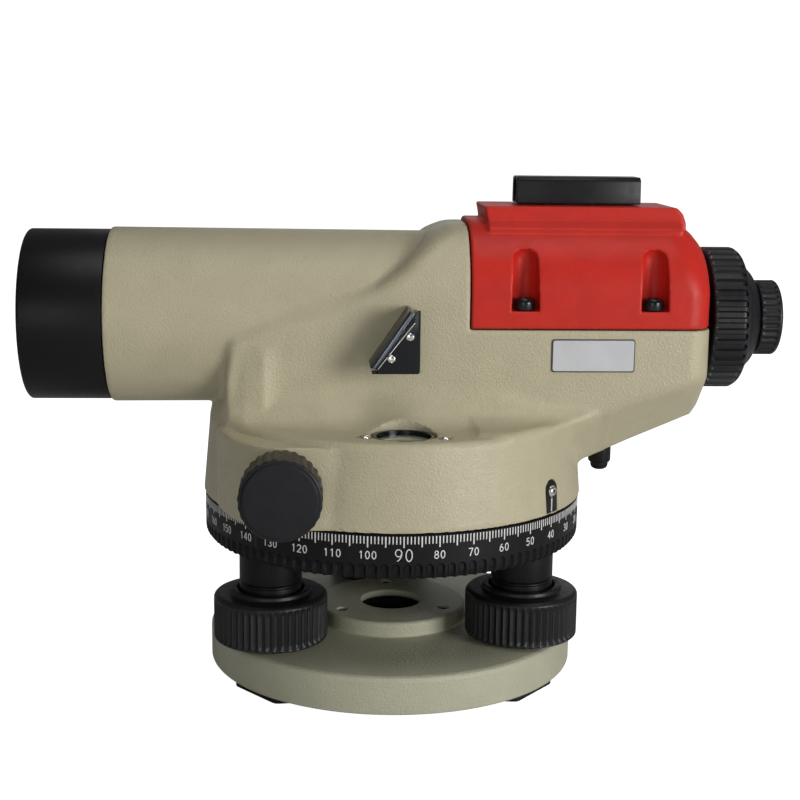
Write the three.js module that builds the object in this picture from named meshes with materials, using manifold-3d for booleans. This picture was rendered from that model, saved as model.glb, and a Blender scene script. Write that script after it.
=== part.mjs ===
// An automatic level: a telescope in a cast body that turns on a levelling base.
// Millimetres, +Z up. The telescope runs along X with its objective at -X. The drive knobs are at -Y and +Y.
// Every piece is its own closed solid.
import * as THREE from "three";
import { mergeVertices } from "three/addons/utils/BufferGeometryUtils.js";
import Module from "manifold-3d";

const wasm = await Module();
wasm.setup();

// ---------------------------------------------------------------- driving dimensions
// Inside the instrument's group, x = 0 and y = 0 are the vertical axis, and z = 0 is the underside.
const OBJECTIVE_END_X = -103.65;
const EYEPIECE_END_X = 111.35;
const AXIS_X = -4.15; // the vertical axis, from the middle of the overall length
const SIGHT_LINE_Z = 102.7;
const GAP = 0.3; // between faces that touch on the real object
const SIDES = [-1, 1];

const base = {
  radius: 53.3,
  underside: 1.8,
  top: 12.6,
  bossRadius: 22.1,
  bossTop: 17,
  holeRadius: 8.7,
  bushRadius: 12.4,
  bushTop: 5.8,
  screwCircle: 17.2,
  screwRadius: 1.75,
  edge: 0.6, // broken edges
  shoulder: 1.4, // the broader bevel round the top
};
const springPlate = {
  thickness: 1.5,
  reach: 52,
  endHalfWidth: 12.5,
  bend: 46, // where each arm's sides start to draw in
  bendHalfWidth: 18.5,
  holeRadius: 8,
};
const foot = {
  circle: 41.4, // radius at which the three foot screws stand
  azimuths: { left: -148, right: -28, rear: 92 },
  knobRadius: 16.05,
  knobBottom: 13.6,
  knobTop: 26.9,
  collarRadius: 11.2,
  collarTop: 28.2,
  sleeveRadius: 8.8,
  sleeveBottom: 23,
  spindleRadius: 3,
  spindleTop: 36,
};
const tribrachDims = { radius: 50.4, bottom: 41.5, top: 48.2, hubRadius: 17, hubBottom: 33.5 };
const circleRing = { radius: 54.6, bottom: 39.8, top: 52.3, webBottom: 48.6, webTop: 50.4 };
const drum = { radiusBottom: 55, radiusTop: 53, bottom: 52.6, ledge: 76, cavityRadius: 51, roof: 69.4 };
const axisDims = { spindleRadius: 8, bore: 8.3, bushRadius: 11, top: 78 };
const worm = { x: -31.1, z: 64, pitchRadius: 4.7, teeth: 66, module: 0.8, threadTurns: 5 };
const driveKnob = { radius: 11.1, back: 52, face: 66 };
const tube = { radiusFront: 24.9, radiusRear: 24.4, front: -80.4, bore: 20.9 };
const casing = { halfWidth: 26, top: 131.2, rearEnd: 88.6, splitZ: 102.1, coverStart: 19.6, floor: 78.4 };
const cover = { start: 20, end: 88.3, bottom: 102.4, top: 132, wall: 2.3 };
const ridge = { start: 23.6, crease: 77.7, end: 80.2, halfWidth: 13, top: 135.4 };
const sight = { start: 34.3, end: 69.6, halfWidth: 6, top: 143, windowRadius: 2.4, windowDepth: 2.6 };
const coverScrews = { xs: [34.8, 70.6], y: 22.2, shelf: 107.2, slotTop: 124.7, slotHalfWidth: 4 };
const barrel = { radius: 24.25, bore: 20.6, back: -80.7 };
const focusRing = { radius: 20.4, start: 88.9, ribEnd: 98, end: 104.4 };
const vial = { x: 1, y: -40, pocketRadius: 9.1, cupRadius: 8.7, glassRadius: 7.1, floor: 70.8, top: 75.5 };
const prismSeat = {
  left: -7.9,
  right: 5.3,
  bottom: 91.8,
  top: 108.8,
  back: -26,
  front: -38,
  cheek: 1.4,
  foot: 1.9, // the mirror plate starts this far above the prism's underside
  tip: 2.9, // and ends this far short of its rear face
  plate: 1.6,
  screws: [[2.5, 101.9], [-2.4, 96]],
  shankRadius: 0.5,
  headRadius: 1.2,
};
const plateDims = { x0: 42.2, x1: 65.4, z0: 90.5, z1: 99.7, thickness: 0.5 };
const index = { azimuth: -39.5, halfWidth: 2.7, bottom: 53, top: 62, screwZ: 59, screwRadius: 1.5 };
const button = {
  x: 61.5,
  radius: 2.6,
  bottom: 57.1,
  top: 76,
  bushRadius: 3.3,
  bushBottom: 59.4,
  bushTop: 74,
};
const pivot = { x: 50, z: 113, pinRadius: 0.9 };
const boss = { front: 50.6, right: -17, left: -43, top: 74.4 }; // the drive's flat bosses

// ---------------------------------------------------------------- geometry helpers
const rad = THREE.MathUtils.degToRad;

// A closed three.js geometry as a solid, with its shared vertices merged and its flat triangles dropped.
function solidOf(geometry) {
  const bare = new THREE.BufferGeometry();
  const plain = geometry.index ? geometry.toNonIndexed() : geometry;
  bare.setAttribute("position", plain.getAttribute("position").clone());
  const merged = mergeVertices(bare, 1e-4);
  const index = merged.index.array;
  const kept = [];
  for (let i = 0; i < index.length; i += 3) {
    const [a, b, c] = [index[i], index[i + 1], index[i + 2]];
    if (a !== b && b !== c && c !== a) kept.push(a, b, c);
  }
  const build = (triangles) =>
    new wasm.Manifold(
      new wasm.Mesh({
        numProp: 3,
        vertProperties: merged.attributes.position.array,
        triVerts: new Uint32Array(triangles),
      }),
    );
  const made = build(kept);
  return made.volume() < 0 ? build(kept.reverse()) : made;
}

function geometryOf(solid) {
  const mesh = solid.getMesh();
  const geometry = new THREE.BufferGeometry();
  geometry.setAttribute("position", new THREE.BufferAttribute(new Float32Array(mesh.vertProperties), 3));
  geometry.setIndex(new THREE.BufferAttribute(new Uint32Array(mesh.triVerts), 1));
  return geometry;
}

const join = (first, ...others) =>
  geometryOf(others.reduce((whole, other) => whole.add(solidOf(other)), solidOf(first)));
const cut = (first, ...tools) =>
  geometryOf(tools.reduce((whole, tool) => whole.subtract(solidOf(tool)), solidOf(first)));
const common = (first, second) => geometryOf(solidOf(first).intersect(solidOf(second)));

// A profile of [radius, height] points turned about Z. It starts and ends on the axis or closes on itself.
function turned(profile, segments = 24) {
  const points = profile.map(([r, h]) => new THREE.Vector2(Math.max(r, 0), h));
  return new THREE.LatheGeometry(points, segments).rotateX(Math.PI / 2);
}

// The same, turned about X: the profile's second number is x.
const turnedX = (profile, segments) => turned(profile, segments).rotateY(Math.PI / 2);

// A tube of rectangular section about Z, from z0 to z1.
const pipe = (inner, outer, z0, z1, segments) =>
  turned([[inner, z0], [outer, z0], [outer, z1], [inner, z1], [inner, z0]], segments);
const pipeX = (inner, outer, x0, x1, segments) => pipe(inner, outer, x0, x1, segments).rotateY(Math.PI / 2);

// Solid cylinders along Z, X and Y.
const rodZ = (radius, z0, z1, segments = 20) =>
  turned([[0, z0], [radius, z0], [radius, z1], [0, z1]], segments);
const rodX = (radius, x0, x1, segments) => rodZ(radius, x0, x1, segments).rotateY(Math.PI / 2);
const rodY = (radius, y0, y1, segments) => rodZ(radius, -y1, -y0, segments).rotateX(Math.PI / 2);

const block = (x0, x1, y0, y1, z0, z1) =>
  new THREE.BoxGeometry(x1 - x0, y1 - y0, z1 - z0).translate((x0 + x1) / 2, (y0 + y1) / 2, (z0 + z1) / 2);

const outline = (points) => new THREE.Shape(points.map(([a, b]) => new THREE.Vector2(a, b)));

// A flat outline in X and Y raised from z0 to z1.
const raised = (points, z0, z1) =>
  new THREE.ExtrudeGeometry(outline(points), { depth: z1 - z0, bevelEnabled: false }).translate(0, 0, z0);

// A flat outline in X and Z carried from y0 to y1.
const acrossY = (points, y0, y1) => raised(points, -y1, -y0).rotateX(Math.PI / 2);

// A flat outline in Y and Z carried from x0 to x1.
const alongX = (points, x0, x1) => raised(points, x0, x1).rotateX(Math.PI / 2).rotateZ(Math.PI / 2);

// Closed rings of the same number of points, each ring a list of [x, y, z], joined from first to last.
function loft(rings) {
  const count = rings[0].length;
  const corners = rings.flat(2);
  const triangles = [];
  for (let r = 0; r + 1 < rings.length; r++) {
    for (let i = 0; i < count; i++) {
      const a = r * count + i;
      const b = r * count + ((i + 1) % count);
      triangles.push(a, b, b + count, a, b + count, a + count);
    }
  }
  // each end is a fan about the middle of its ring
  const middle = (ring) => [0, 1, 2].map((k) => ring.reduce((sum, point) => sum + point[k], 0) / count);
  const first = rings.length * count;
  const last = (rings.length - 1) * count;
  corners.push(...middle(rings[0]), ...middle(rings.at(-1)));
  for (let i = 0; i < count; i++) {
    const next = (i + 1) % count;
    triangles.push(first, next, i, first + 1, last + i, last + next);
  }
  const geometry = new THREE.BufferGeometry();
  geometry.setAttribute("position", new THREE.Float32BufferAttribute(corners, 3));
  geometry.setIndex(triangles);
  return geometry;
}

// Points of an arc about [a, b], from one angle to another in degrees.
function arc(a, b, radius, from, to, steps) {
  const points = [];
  for (let i = 0; i <= steps; i++) {
    const angle = rad(from + ((to - from) * i) / steps);
    points.push([a + radius * Math.cos(angle), b + radius * Math.sin(angle)]);
  }
  return points;
}

const polar = (radius, azimuth) => [radius * Math.cos(rad(azimuth)), radius * Math.sin(rad(azimuth))];
const mirrored = (points) => points.map(([a, b]) => [-a, b]).reverse();

// ---------------------------------------------------------------- materials
const look = (color, roughness, metalness) => new THREE.MeshStandardMaterial({ color, roughness, metalness });
const materials = {
  paint: look(0xaaa282, 0.55, 0.1),
  red: look(0xb81c1c, 0.4, 0),
  black: look(0x1b1c1e, 0.45, 0.1),
  rubber: look(0x202123, 0.8, 0),
  anodised: look(0x17181a, 0.35, 0.5),
  steel: look(0xb9bcc0, 0.3, 1),
  brass: look(0xb08d4a, 0.35, 1),
  silver: look(0xc0c2c6, 0.45, 0.6),
  glass: look(0xbfd4cf, 0.05, 0),
};

function piece(name, geometry, material, parent) {
  const mesh = new THREE.Mesh(geometryOf(solidOf(geometry)), materials[material]);
  mesh.name = name;
  parent.add(mesh);
  return mesh;
}

function groupAt(parent, x, y, z) {
  const group = new THREE.Group();
  group.position.set(x, y, z);
  parent.add(group);
  return group;
}

const level = new THREE.Group();
const instrument = groupAt(level, AXIS_X, 0, 0);

// ---------------------------------------------------------------- base
function makeBase(parent) {
  const { radius, underside, top, bossRadius, bossTop, edge, shoulder } = base;
  const bands = [
    [base.bushRadius, underside],
    [radius - edge, underside],
    [radius, underside + edge],
    [radius, top - shoulder],
    [radius - 0.3 * shoulder, top - 0.3 * shoulder],
    [radius - shoulder, top],
    [bossRadius + edge, top],
    [bossRadius, top + edge],
    [bossRadius, bossTop - edge],
    [bossRadius - edge, bossTop],
    [base.holeRadius + edge, bossTop],
    [base.holeRadius, bossTop - edge],
    [base.holeRadius, base.bushTop],
    [base.bushRadius, base.bushTop],
    [base.bushRadius, underside],
  ];
  const ballSockets = Object.values(foot.azimuths).map((azimuth) => {
    const socket = turned([[0, 1], [5.6, 1], [5.6, 7.2], [4.2, 8.6], [4.2, 14], [0, 14]], 12);
    return socket.translate(...polar(foot.circle, azimuth), 0);
  });
  const screwHoles = Object.values(foot.azimuths).map((azimuth) =>
    rodZ(base.screwRadius + GAP, 1, bossTop + 1, 10).translate(...polar(base.screwCircle, azimuth), 0),
  );
  piece("base_plate", cut(turned(bands, 44), ...ballSockets, ...screwHoles), "paint", parent);

  const screwTop = bossTop - 0.6;
  Object.values(foot.azimuths).forEach((azimuth, i) => {
    const shank = rodZ(base.screwRadius, springPlate.thickness + GAP, screwTop, 10);
    const hexSocket = rodZ(1, screwTop - 1.4, screwTop + 1, 6);
    const group = groupAt(parent, ...polar(base.screwCircle, azimuth), 0);
    piece(`base_screw_${i + 1}`, cut(shank, hexSocket), "anodised", group);
  });

  const arms = Object.values(foot.azimuths).sort((a, b) => a - b);
  const { thickness, reach, endHalfWidth, bend, bendHalfWidth, holeRadius } = springPlate;
  const armEnd = [
    new THREE.Vector2(bend, -bendHalfWidth),
    new THREE.Vector2(reach, -endHalfWidth),
    new THREE.Vector2(reach, endHalfWidth),
    new THREE.Vector2(bend, bendHalfWidth),
  ];
  const centre = new THREE.Vector2();
  const rim = arms.flatMap((azimuth) =>
    armEnd.map((corner) => corner.clone().rotateAround(centre, rad(azimuth)).toArray()),
  );
  const tripodHole = rodZ(holeRadius, -1, thickness + 1);
  piece("spring_plate", cut(raised(rim, 0, thickness), tripodHole), "anodised", parent);

  const threadBush = pipe(7.9, base.bushRadius - GAP, base.underside, base.bushTop - GAP, 24);
  piece("tripod_thread_bush", threadBush, "brass", parent);
}

// ---------------------------------------------------------------- foot screws
function makeFootScrews(parent) {
  const collarFloor = 19.6;
  const knob = [
    [foot.spindleRadius + GAP, foot.knobBottom],
    [foot.knobRadius - 0.6, foot.knobBottom],
    [foot.knobRadius, foot.knobBottom + 0.6],
    [foot.knobRadius, foot.knobTop - 1.1],
    [foot.knobRadius - 1.1, foot.knobTop],
    [foot.collarRadius, foot.knobTop],
    [foot.collarRadius, foot.collarTop],
    [foot.collarRadius - 1.3, foot.collarTop],
    [foot.collarRadius - 1.3, collarFloor],
    [foot.spindleRadius + GAP, collarFloor],
    [foot.spindleRadius + GAP, foot.knobBottom],
  ];
  const ballEnd = arc(0, 5.6, 3.7, -90, 35, 4);
  const spindle = [
    ...ballEnd,
    [foot.spindleRadius, 8.4],
    [foot.spindleRadius, foot.spindleTop - 1],
    [foot.spindleRadius - 1, foot.spindleTop],
    [0, foot.spindleTop],
  ];
  for (const [place, azimuth] of Object.entries(foot.azimuths)) {
    const group = groupAt(parent, ...polar(foot.circle, azimuth), 0);
    piece(`foot_knob_${place}`, turned(knob, 24), "rubber", group);
    piece(`foot_spindle_${place}`, turned(spindle, 12), "steel", group);
  }
}

// ---------------------------------------------------------------- tribrach
const sleeve = (top) => pipe(foot.spindleRadius + 1, foot.sleeveRadius, foot.sleeveBottom, top, 20);

function makeTribrach(parent) {
  const body = turned(
    [
      [axisDims.bore, tribrachDims.hubBottom],
      [tribrachDims.hubRadius, tribrachDims.hubBottom],
      [tribrachDims.hubRadius, tribrachDims.bottom],
      [tribrachDims.radius, tribrachDims.bottom],
      [tribrachDims.radius, tribrachDims.top],
      [axisDims.bore, tribrachDims.top],
      [axisDims.bore, tribrachDims.hubBottom],
    ],
    48,
  );
  const { left, right, rear } = foot.azimuths;
  const boreRadius = foot.spindleRadius + 1;
  const frontSleeves = [left, right].map((azimuth) =>
    sleeve(tribrachDims.bottom + 2).translate(...polar(foot.circle, azimuth), 0),
  );
  const frontBores = [left, right].map((azimuth) =>
    rodZ(boreRadius, 20, tribrachDims.bottom + 3).translate(...polar(foot.circle, azimuth), 0),
  );
  const rearSeat = rodZ(foot.sleeveRadius - 1.9, 40, 50, 20).translate(...polar(foot.circle, rear), 0);
  piece("tribrach", cut(join(body, ...frontSleeves), ...frontBores, rearSeat), "anodised", parent);

  // The rear sleeve rocks in the tribrach: its neck is narrower than the seat it stands in.
  const rearSleeve = join(
    sleeve(tribrachDims.bottom - 0.8),
    pipe(boreRadius, foot.sleeveRadius - 2.9, tribrachDims.bottom - 2, tribrachDims.top - 0.8, 20),
  );
  piece("rear_foot_sleeve", rearSleeve, "anodised", groupAt(parent, ...polar(foot.circle, rear), 0));

  const spindle = [
    [0, tribrachDims.hubBottom + 1],
    [axisDims.spindleRadius, tribrachDims.hubBottom + 1],
    [axisDims.spindleRadius, tribrachDims.top + GAP],
    [13, tribrachDims.top + GAP],
    [13, tribrachDims.top + 5],
    [axisDims.spindleRadius, tribrachDims.top + 5],
    [axisDims.spindleRadius, axisDims.top - 1],
    [axisDims.spindleRadius - 1, axisDims.top],
    [0, axisDims.top],
  ];
  piece("vertical_spindle", turned(spindle, 24), "steel", parent);
}

function makeHorizontalCircle(parent) {
  const { radius, bottom, top, webBottom, webTop } = circleRing;
  const band = [
    [14, webBottom],
    [tribrachDims.radius + 0.5, webBottom],
    [tribrachDims.radius + 0.5, bottom],
    [radius - 0.8, bottom],
    [radius, bottom + 0.9],
    [radius, top - 0.3],
    [radius - 0.4, top],
    [51.6, top],
    [51.6, webTop],
    [14, webTop],
    [14, webBottom],
  ];
  piece("horizontal_circle", turned(band, 52), "black", parent);
}

// ---------------------------------------------------------------- endless horizontal drive
function wormWheel() {
  const pitchRadius = (worm.teeth * worm.module) / 2;
  const root = pitchRadius - 1.15;
  const crest = pitchRadius + 0.45;
  const points = [];
  for (let i = 0; i < worm.teeth; i++) {
    // a tooth space lies at azimuth 180, where the worm is
    const middle = 180 + ((i + 0.5) * 360) / worm.teeth;
    const quarter = 90 / worm.teeth;
    points.push(polar(root, middle - 1.25 * quarter), polar(crest, middle - 0.5 * quarter));
    points.push(polar(crest, middle + 0.5 * quarter), polar(root, middle + 1.25 * quarter));
  }
  const rim = raised(points, worm.z - 2.5, worm.z + 2.5);
  const hub = rodZ(13, 54, 68.6, 24);
  return cut(join(rim, hub), rodZ(axisDims.bore, 50, 72, 24));
}

// A worm thread about Z: a ridge wound on a helix, centred on z = 0 with its crest at azimuth 0 there.
function wormThread(pitch, turns, rootRadius, crestRadius, halfWidth) {
  const steps = 9 * turns;
  const rings = [];
  for (let i = 0; i <= steps; i++) {
    const turn = (i / steps - 0.5) * turns;
    const angle = 2 * Math.PI * turn;
    const place = (r, dz) => [r * Math.cos(angle), r * Math.sin(angle), turn * pitch + dz];
    rings.push([
      place(rootRadius, -halfWidth),
      place(crestRadius, -halfWidth / 4),
      place(crestRadius, halfWidth / 4),
      place(rootRadius, halfWidth),
    ]);
  }
  const geometry = new THREE.BufferGeometry();
  const triangles = [];
  for (let r = 0; r < steps; r++) {
    for (let i = 0; i < 4; i++) {
      const a = r * 4 + i;
      const b = r * 4 + ((i + 1) % 4);
      triangles.push(a, b, b + 4, a, b + 4, a + 4);
    }
  }
  const last = steps * 4;
  triangles.push(0, 2, 1, 0, 3, 2, last, last + 1, last + 2, last, last + 2, last + 3);
  geometry.setAttribute("position", new THREE.Float32BufferAttribute(rings.flat(2), 3));
  geometry.setIndex(triangles);
  return geometry;
}

function makeDrive(parent) {
  piece("worm_wheel", wormWheel(), "brass", parent);

  // The drive group's own Z runs along the shaft, towards the front knob at -Y.
  const shaftGroup = groupAt(parent, worm.x, 0, worm.z);
  shaftGroup.rotation.x = Math.PI / 2;
  const pitch = Math.PI * worm.module;
  const thread = wormThread(pitch, worm.threadTurns, 3, worm.pitchRadius + 0.55, 0.8);
  const shaft = join(
    rodZ(2.4, -driveKnob.face + 3, driveKnob.face - 3, 12),
    rodZ(3.3, -9, 9, 12),
    thread,
  );
  piece("drive_shaft", shaft, "steel", shaftGroup);

  for (const side of SIDES) {
    const knob = turned(
      [
        [2.7, driveKnob.back],
        [9.4, driveKnob.back],
        [driveKnob.radius, driveKnob.back + 1.4],
        [driveKnob.radius, driveKnob.face - 2.6],
        [9.8, driveKnob.face],
        [0, driveKnob.face],
        [0, driveKnob.face - 2.7],
        [2.7, driveKnob.face - 2.7],
        [2.7, driveKnob.back],
      ],
      28,
    );
    if (side < 0) knob.rotateX(Math.PI);
    piece(side > 0 ? "drive_knob_front" : "drive_knob_rear", knob, "rubber", shaftGroup);
  }
}

// ---------------------------------------------------------------- cast body
// One section of the casing across X: walls, a hollow flare out to the ledge, then the sloping underside.
function casingSection({ x, top, wall, flareZ, edgeY, edgeZ, keelY, keelZ }) {
  const roundTop = Math.min(17, top - flareZ - 2);
  const half = [
    [0, top],
    ...arc(wall - roundTop, top - roundTop, roundTop, 90, 0, 5),
    [wall, flareZ],
    ...[0.35, 0.7, 1].map((t) => {
      const angle = (Math.PI / 2) * t;
      const outward = (edgeY - wall) * (1 - Math.cos(angle));
      return [wall + outward, flareZ - (flareZ - edgeZ - 0.6) * Math.sin(angle)];
    }),
    [edgeY, edgeZ - 0.6],
    [keelY, keelZ],
    [0, keelZ],
  ];
  const ring = [...half, ...mirrored(half.slice(1, -1))];
  return ring.map(([y, z]) => [x, y, z]);
}

function casingShape() {
  const { top } = casing;
  const onDrum = (x) => Math.sqrt(drum.radiusTop ** 2 - x ** 2) - 1;
  const inDrum = (x, topZ, wall) => ({
    x,
    top: topZ,
    wall,
    flareZ: 88,
    edgeY: Math.max(onDrum(x), wall + 0.3),
    edgeZ: drum.ledge,
    keelY: wall - 2,
    keelZ: drum.ledge - 4,
  });
  const stations = [
    { ...inDrum(-46.8, 92, 22), flareZ: 82, edgeY: 23 },
    { ...inDrum(-45, 97, 25), flareZ: 84 },
    inDrum(-38, 101.5, 26),
    inDrum(-31, 104.2, 26),
    inDrum(-18.6, 108.6, 26),
    inDrum(-6.5, 113.6, 26),
    inDrum(0.6, 118.4, 26),
    inDrum(6.8, 125, 26),
    inDrum(9.6, 128, 26),
    inDrum(14.5, 131, 26),
    inDrum(19.5, top, casing.halfWidth),
    inDrum(30, top, casing.halfWidth),
    { x: 41.3, top, wall: 26, flareZ: 84, edgeY: 33, edgeZ: 76.2, keelY: 18, keelZ: 66 },
    { x: 48.5, top, wall: 26, flareZ: 84, edgeY: 28.4, edgeZ: 77.6, keelY: 15, keelZ: 62.4 },
    { x: 56.3, top, wall: 26, flareZ: 85, edgeY: 26.3, edgeZ: 79.6, keelY: 14, keelZ: 64.3 },
    { x: 70.1, top, wall: 26, flareZ: 89, edgeY: 26.2, edgeZ: 83.9, keelY: 13, keelZ: 70.2 },
    { x: 80, top, wall: 25.8, flareZ: 92, edgeY: 25.9, edgeZ: 87, keelY: 12.5, keelZ: 74.2 },
    { x: 85, top, wall: 24.6, flareZ: 93, edgeY: 24.7, edgeZ: 89, keelY: 12, keelZ: 76.4 },
    { x: 87.8, top, wall: 22, flareZ: 94, edgeY: 22.1, edgeZ: 90.5, keelY: 11, keelZ: 82.5 },
    { x: casing.rearEnd, top, wall: 19, flareZ: 96, edgeY: 19.1, edgeZ: 94, keelY: 10, keelZ: 90 },
  ];
  return loft(stations.map(casingSection));
}

// The cover's own section, a shade lower than the body, with broad round shoulders.
function coverSection(x, halfWidth, top, bottom) {
  const shoulder = 17;
  const half = [
    [0, top],
    ...arc(halfWidth - shoulder, top - shoulder, shoulder, 84, 0, 6),
    [halfWidth, bottom],
    [0, bottom],
  ];
  const ring = [...half, ...mirrored(half.slice(1, -1))];
  return ring.map(([y, z]) => [x, y, z]);
}

function coverShell(inset) {
  const stations = [
    [cover.start + inset, casing.halfWidth, cover.top],
    [77, casing.halfWidth, cover.top],
    [80.5, 25.8, 131.4],
    [84.2 - inset / 2, 24.9, 128.9],
    [86.8 - inset, 22.9, 125.4],
    [cover.end - inset, 19.4, 121],
  ];
  return loft(
    stations.map(([x, halfWidth, top]) =>
      coverSection(x, halfWidth - inset, top - inset, inset ? cover.bottom - 2 : cover.bottom),
    ),
  );
}

function housingShape() {
  const outerDrum = turned(
    [
      [0, drum.bottom],
      [drum.radiusBottom, drum.bottom],
      [drum.radiusTop + 0.1, drum.ledge - 2.2],
      [drum.radiusTop - 0.6, drum.ledge - 0.7],
      [drum.radiusTop - 2.2, drum.ledge],
      [0, drum.ledge],
    ],
    52,
  );
  const barrelTube = turnedX(
    [[0, tube.front], [tube.radiusFront, tube.front], [tube.radiusRear, 9.6], [tube.radiusRear, 12], [0, 12]],
    40,
  ).translate(0, 0, SIGHT_LINE_Z);
  // flat bosses that carry the drive knobs
  const { front, right, left, top } = boss;
  const bossPlan = [
    [right, -front],
    [left + 9, -front],
    [left + 3, -front + 3.1],
    [left, -front + 9.6],
    [left, -20],
    [right, -20],
  ];
  const frontBoss = raised(bossPlan, drum.bottom, top);
  const rearBoss = frontBoss.clone().rotateX(Math.PI).translate(0, 0, drum.bottom + top);

  let body = join(outerDrum, barrelTube, casingShape(), frontBoss, rearBoss);

  // the split: above it, behind the tube, only the bulkheads stay, and the cover fills the rest
  const aboveSplit = block(casing.coverStart, 95, -40, 40, casing.splitZ, 150);
  body = cut(body, aboveSplit);
  const rearBulkhead = block(80.6, 84.6, -14.6, 14.6, 90, 117.6);
  const compartment = [
    block(22.6, 80.7, -22.6, 22.6, 87.5, 140),
    block(22.6, 66, -18, 18, casing.floor, 90),
  ];
  const bore = rodX(tube.bore, -90, 23, 36).translate(0, 0, SIGHT_LINE_Z);
  const drumCavity = cut(
    turned(
      [
        [0, 50],
        [drum.cavityRadius, 50],
        [drum.cavityRadius, drum.bottom + 1],
        [drum.cavityRadius - 1.4, drum.roof],
        [0, drum.roof],
      ],
      40,
    ),
    rodZ(14.5, drum.roof - 0.4, 75, 24),
  );
  const axisHole = rodZ(axisDims.bushRadius + GAP, 60, axisDims.top + 0.6, 24);
  body = cut(body, ...compartment, bore, drumCavity, axisHole);
  body = join(body, rearBulkhead, ...screwPillars());
  const eyepieceHole = rodX(12.3, 78, 95, 28).translate(0, 0, SIGHT_LINE_Z);
  const shaftHole = rodY(2.8, -60, 60, 20).translate(worm.x, 0, worm.z);
  const vialPocket = rodZ(vial.pocketRadius, vial.floor, 95, 28).translate(vial.x, vial.y, 0);
  const levelScrewHoles = levelScrewPlaces().map(([x, y]) => rodZ(1.9, 71.2, 80, 12).translate(x, y, 0));
  const indexSlot = indexInsert(GAP, 52, 60);
  const pillarHoles = screwPillarHoles();
  const buttonHole = rodZ(button.bushRadius + GAP, 55, casing.floor + 2, 20).translate(button.x, 0, 0);
  return cut(
    body, eyepieceHole, shaftHole, vialPocket, ...levelScrewHoles, indexSlot, buttonHole, ...pillarHoles,
  );
}

const levelScrewPlaces = () => [[-9.4, -43.8], [11.7, -44.9]];

const coverScrewPlaces = () => coverScrews.xs.flatMap((x) => SIDES.map((side) => [x, side * coverScrews.y]));
const screwPillars = () =>
  coverScrewPlaces().map(([x, y]) => {
    const [inner, outer] = y > 0 ? [19.4, 24] : [-24, -19.4];
    return block(x - 4, x + 4, inner, outer, 86, casing.splitZ);
  });
const screwPillarHoles = () => coverScrewPlaces().map(([x, y]) => rodZ(1.8, 92, 104, 14).translate(x, y, 0));

function coverShape() {
  const outer = coverShell(0);
  const inner = coverShell(cover.wall);
  const { xs, shelf, slotTop, slotHalfWidth } = coverScrews;
  const pocketWalls = xs.flatMap((x) =>
    SIDES.map((side) => {
      const [y0, y1] = side > 0 ? [17, 26] : [-26, -17];
      return block(x - slotHalfWidth - 2, x + slotHalfWidth + 2, y0, y1, cover.bottom, slotTop + 2.5);
    }),
  );
  const shell = join(cut(outer, inner), ...pocketWalls.map((wall) => common(wall, outer)));
  const roofHalf = [
    [15.6, 126],
    [15.6, 129.2],
    [ridge.halfWidth + 0.3, 131.4],
    [ridge.halfWidth, ridge.top],
  ];
  const roof = [...roofHalf, ...mirrored(roofHalf)];
  const roofEnds = [
    [ridge.start + 1.2, 128],
    [ridge.start, ridge.top],
    [ridge.crease, ridge.top],
    [ridge.end, 134.2],
    [ridge.end + 1.2, 128],
  ];
  const roofBlock = common(alongX(roof, ridge.start, ridge.end + 1.2), acrossY(roofEnds, -20, 20));
  const slots = xs.flatMap((x) =>
    SIDES.map((side) => {
      const face = [
        [x - slotHalfWidth, shelf],
        ...arc(x, slotTop - slotHalfWidth, slotHalfWidth, 180, 0, 8),
        [x + slotHalfWidth, shelf],
      ];
      return side > 0 ? acrossY(face, 18.6, 30) : acrossY(face, -30, -18.6);
    }),
  );
  const shaftHoles = coverScrewPlaces().map(([x, y]) => rodZ(1.8, 100, 110, 14).translate(x, y, 0));
  const eyepieceNotch = rodX(13, 83, 95, 28).translate(0, 0, SIGHT_LINE_Z);
  return cut(join(shell, cut(roofBlock, inner)), ...slots, ...shaftHoles, eyepieceNotch);
}

// The index insert: a tongue with a round top let into the drum's outside.
function indexInsert(clearance, back, front) {
  const half = index.halfWidth + clearance;
  const face = [
    [-half, index.bottom - clearance],
    [half, index.bottom - clearance],
    ...arc(0, index.top - index.halfWidth, half, 0, 180, 8),
  ];
  return acrossY(face, -front, -back).rotateZ(rad(index.azimuth + 90));
}

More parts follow.
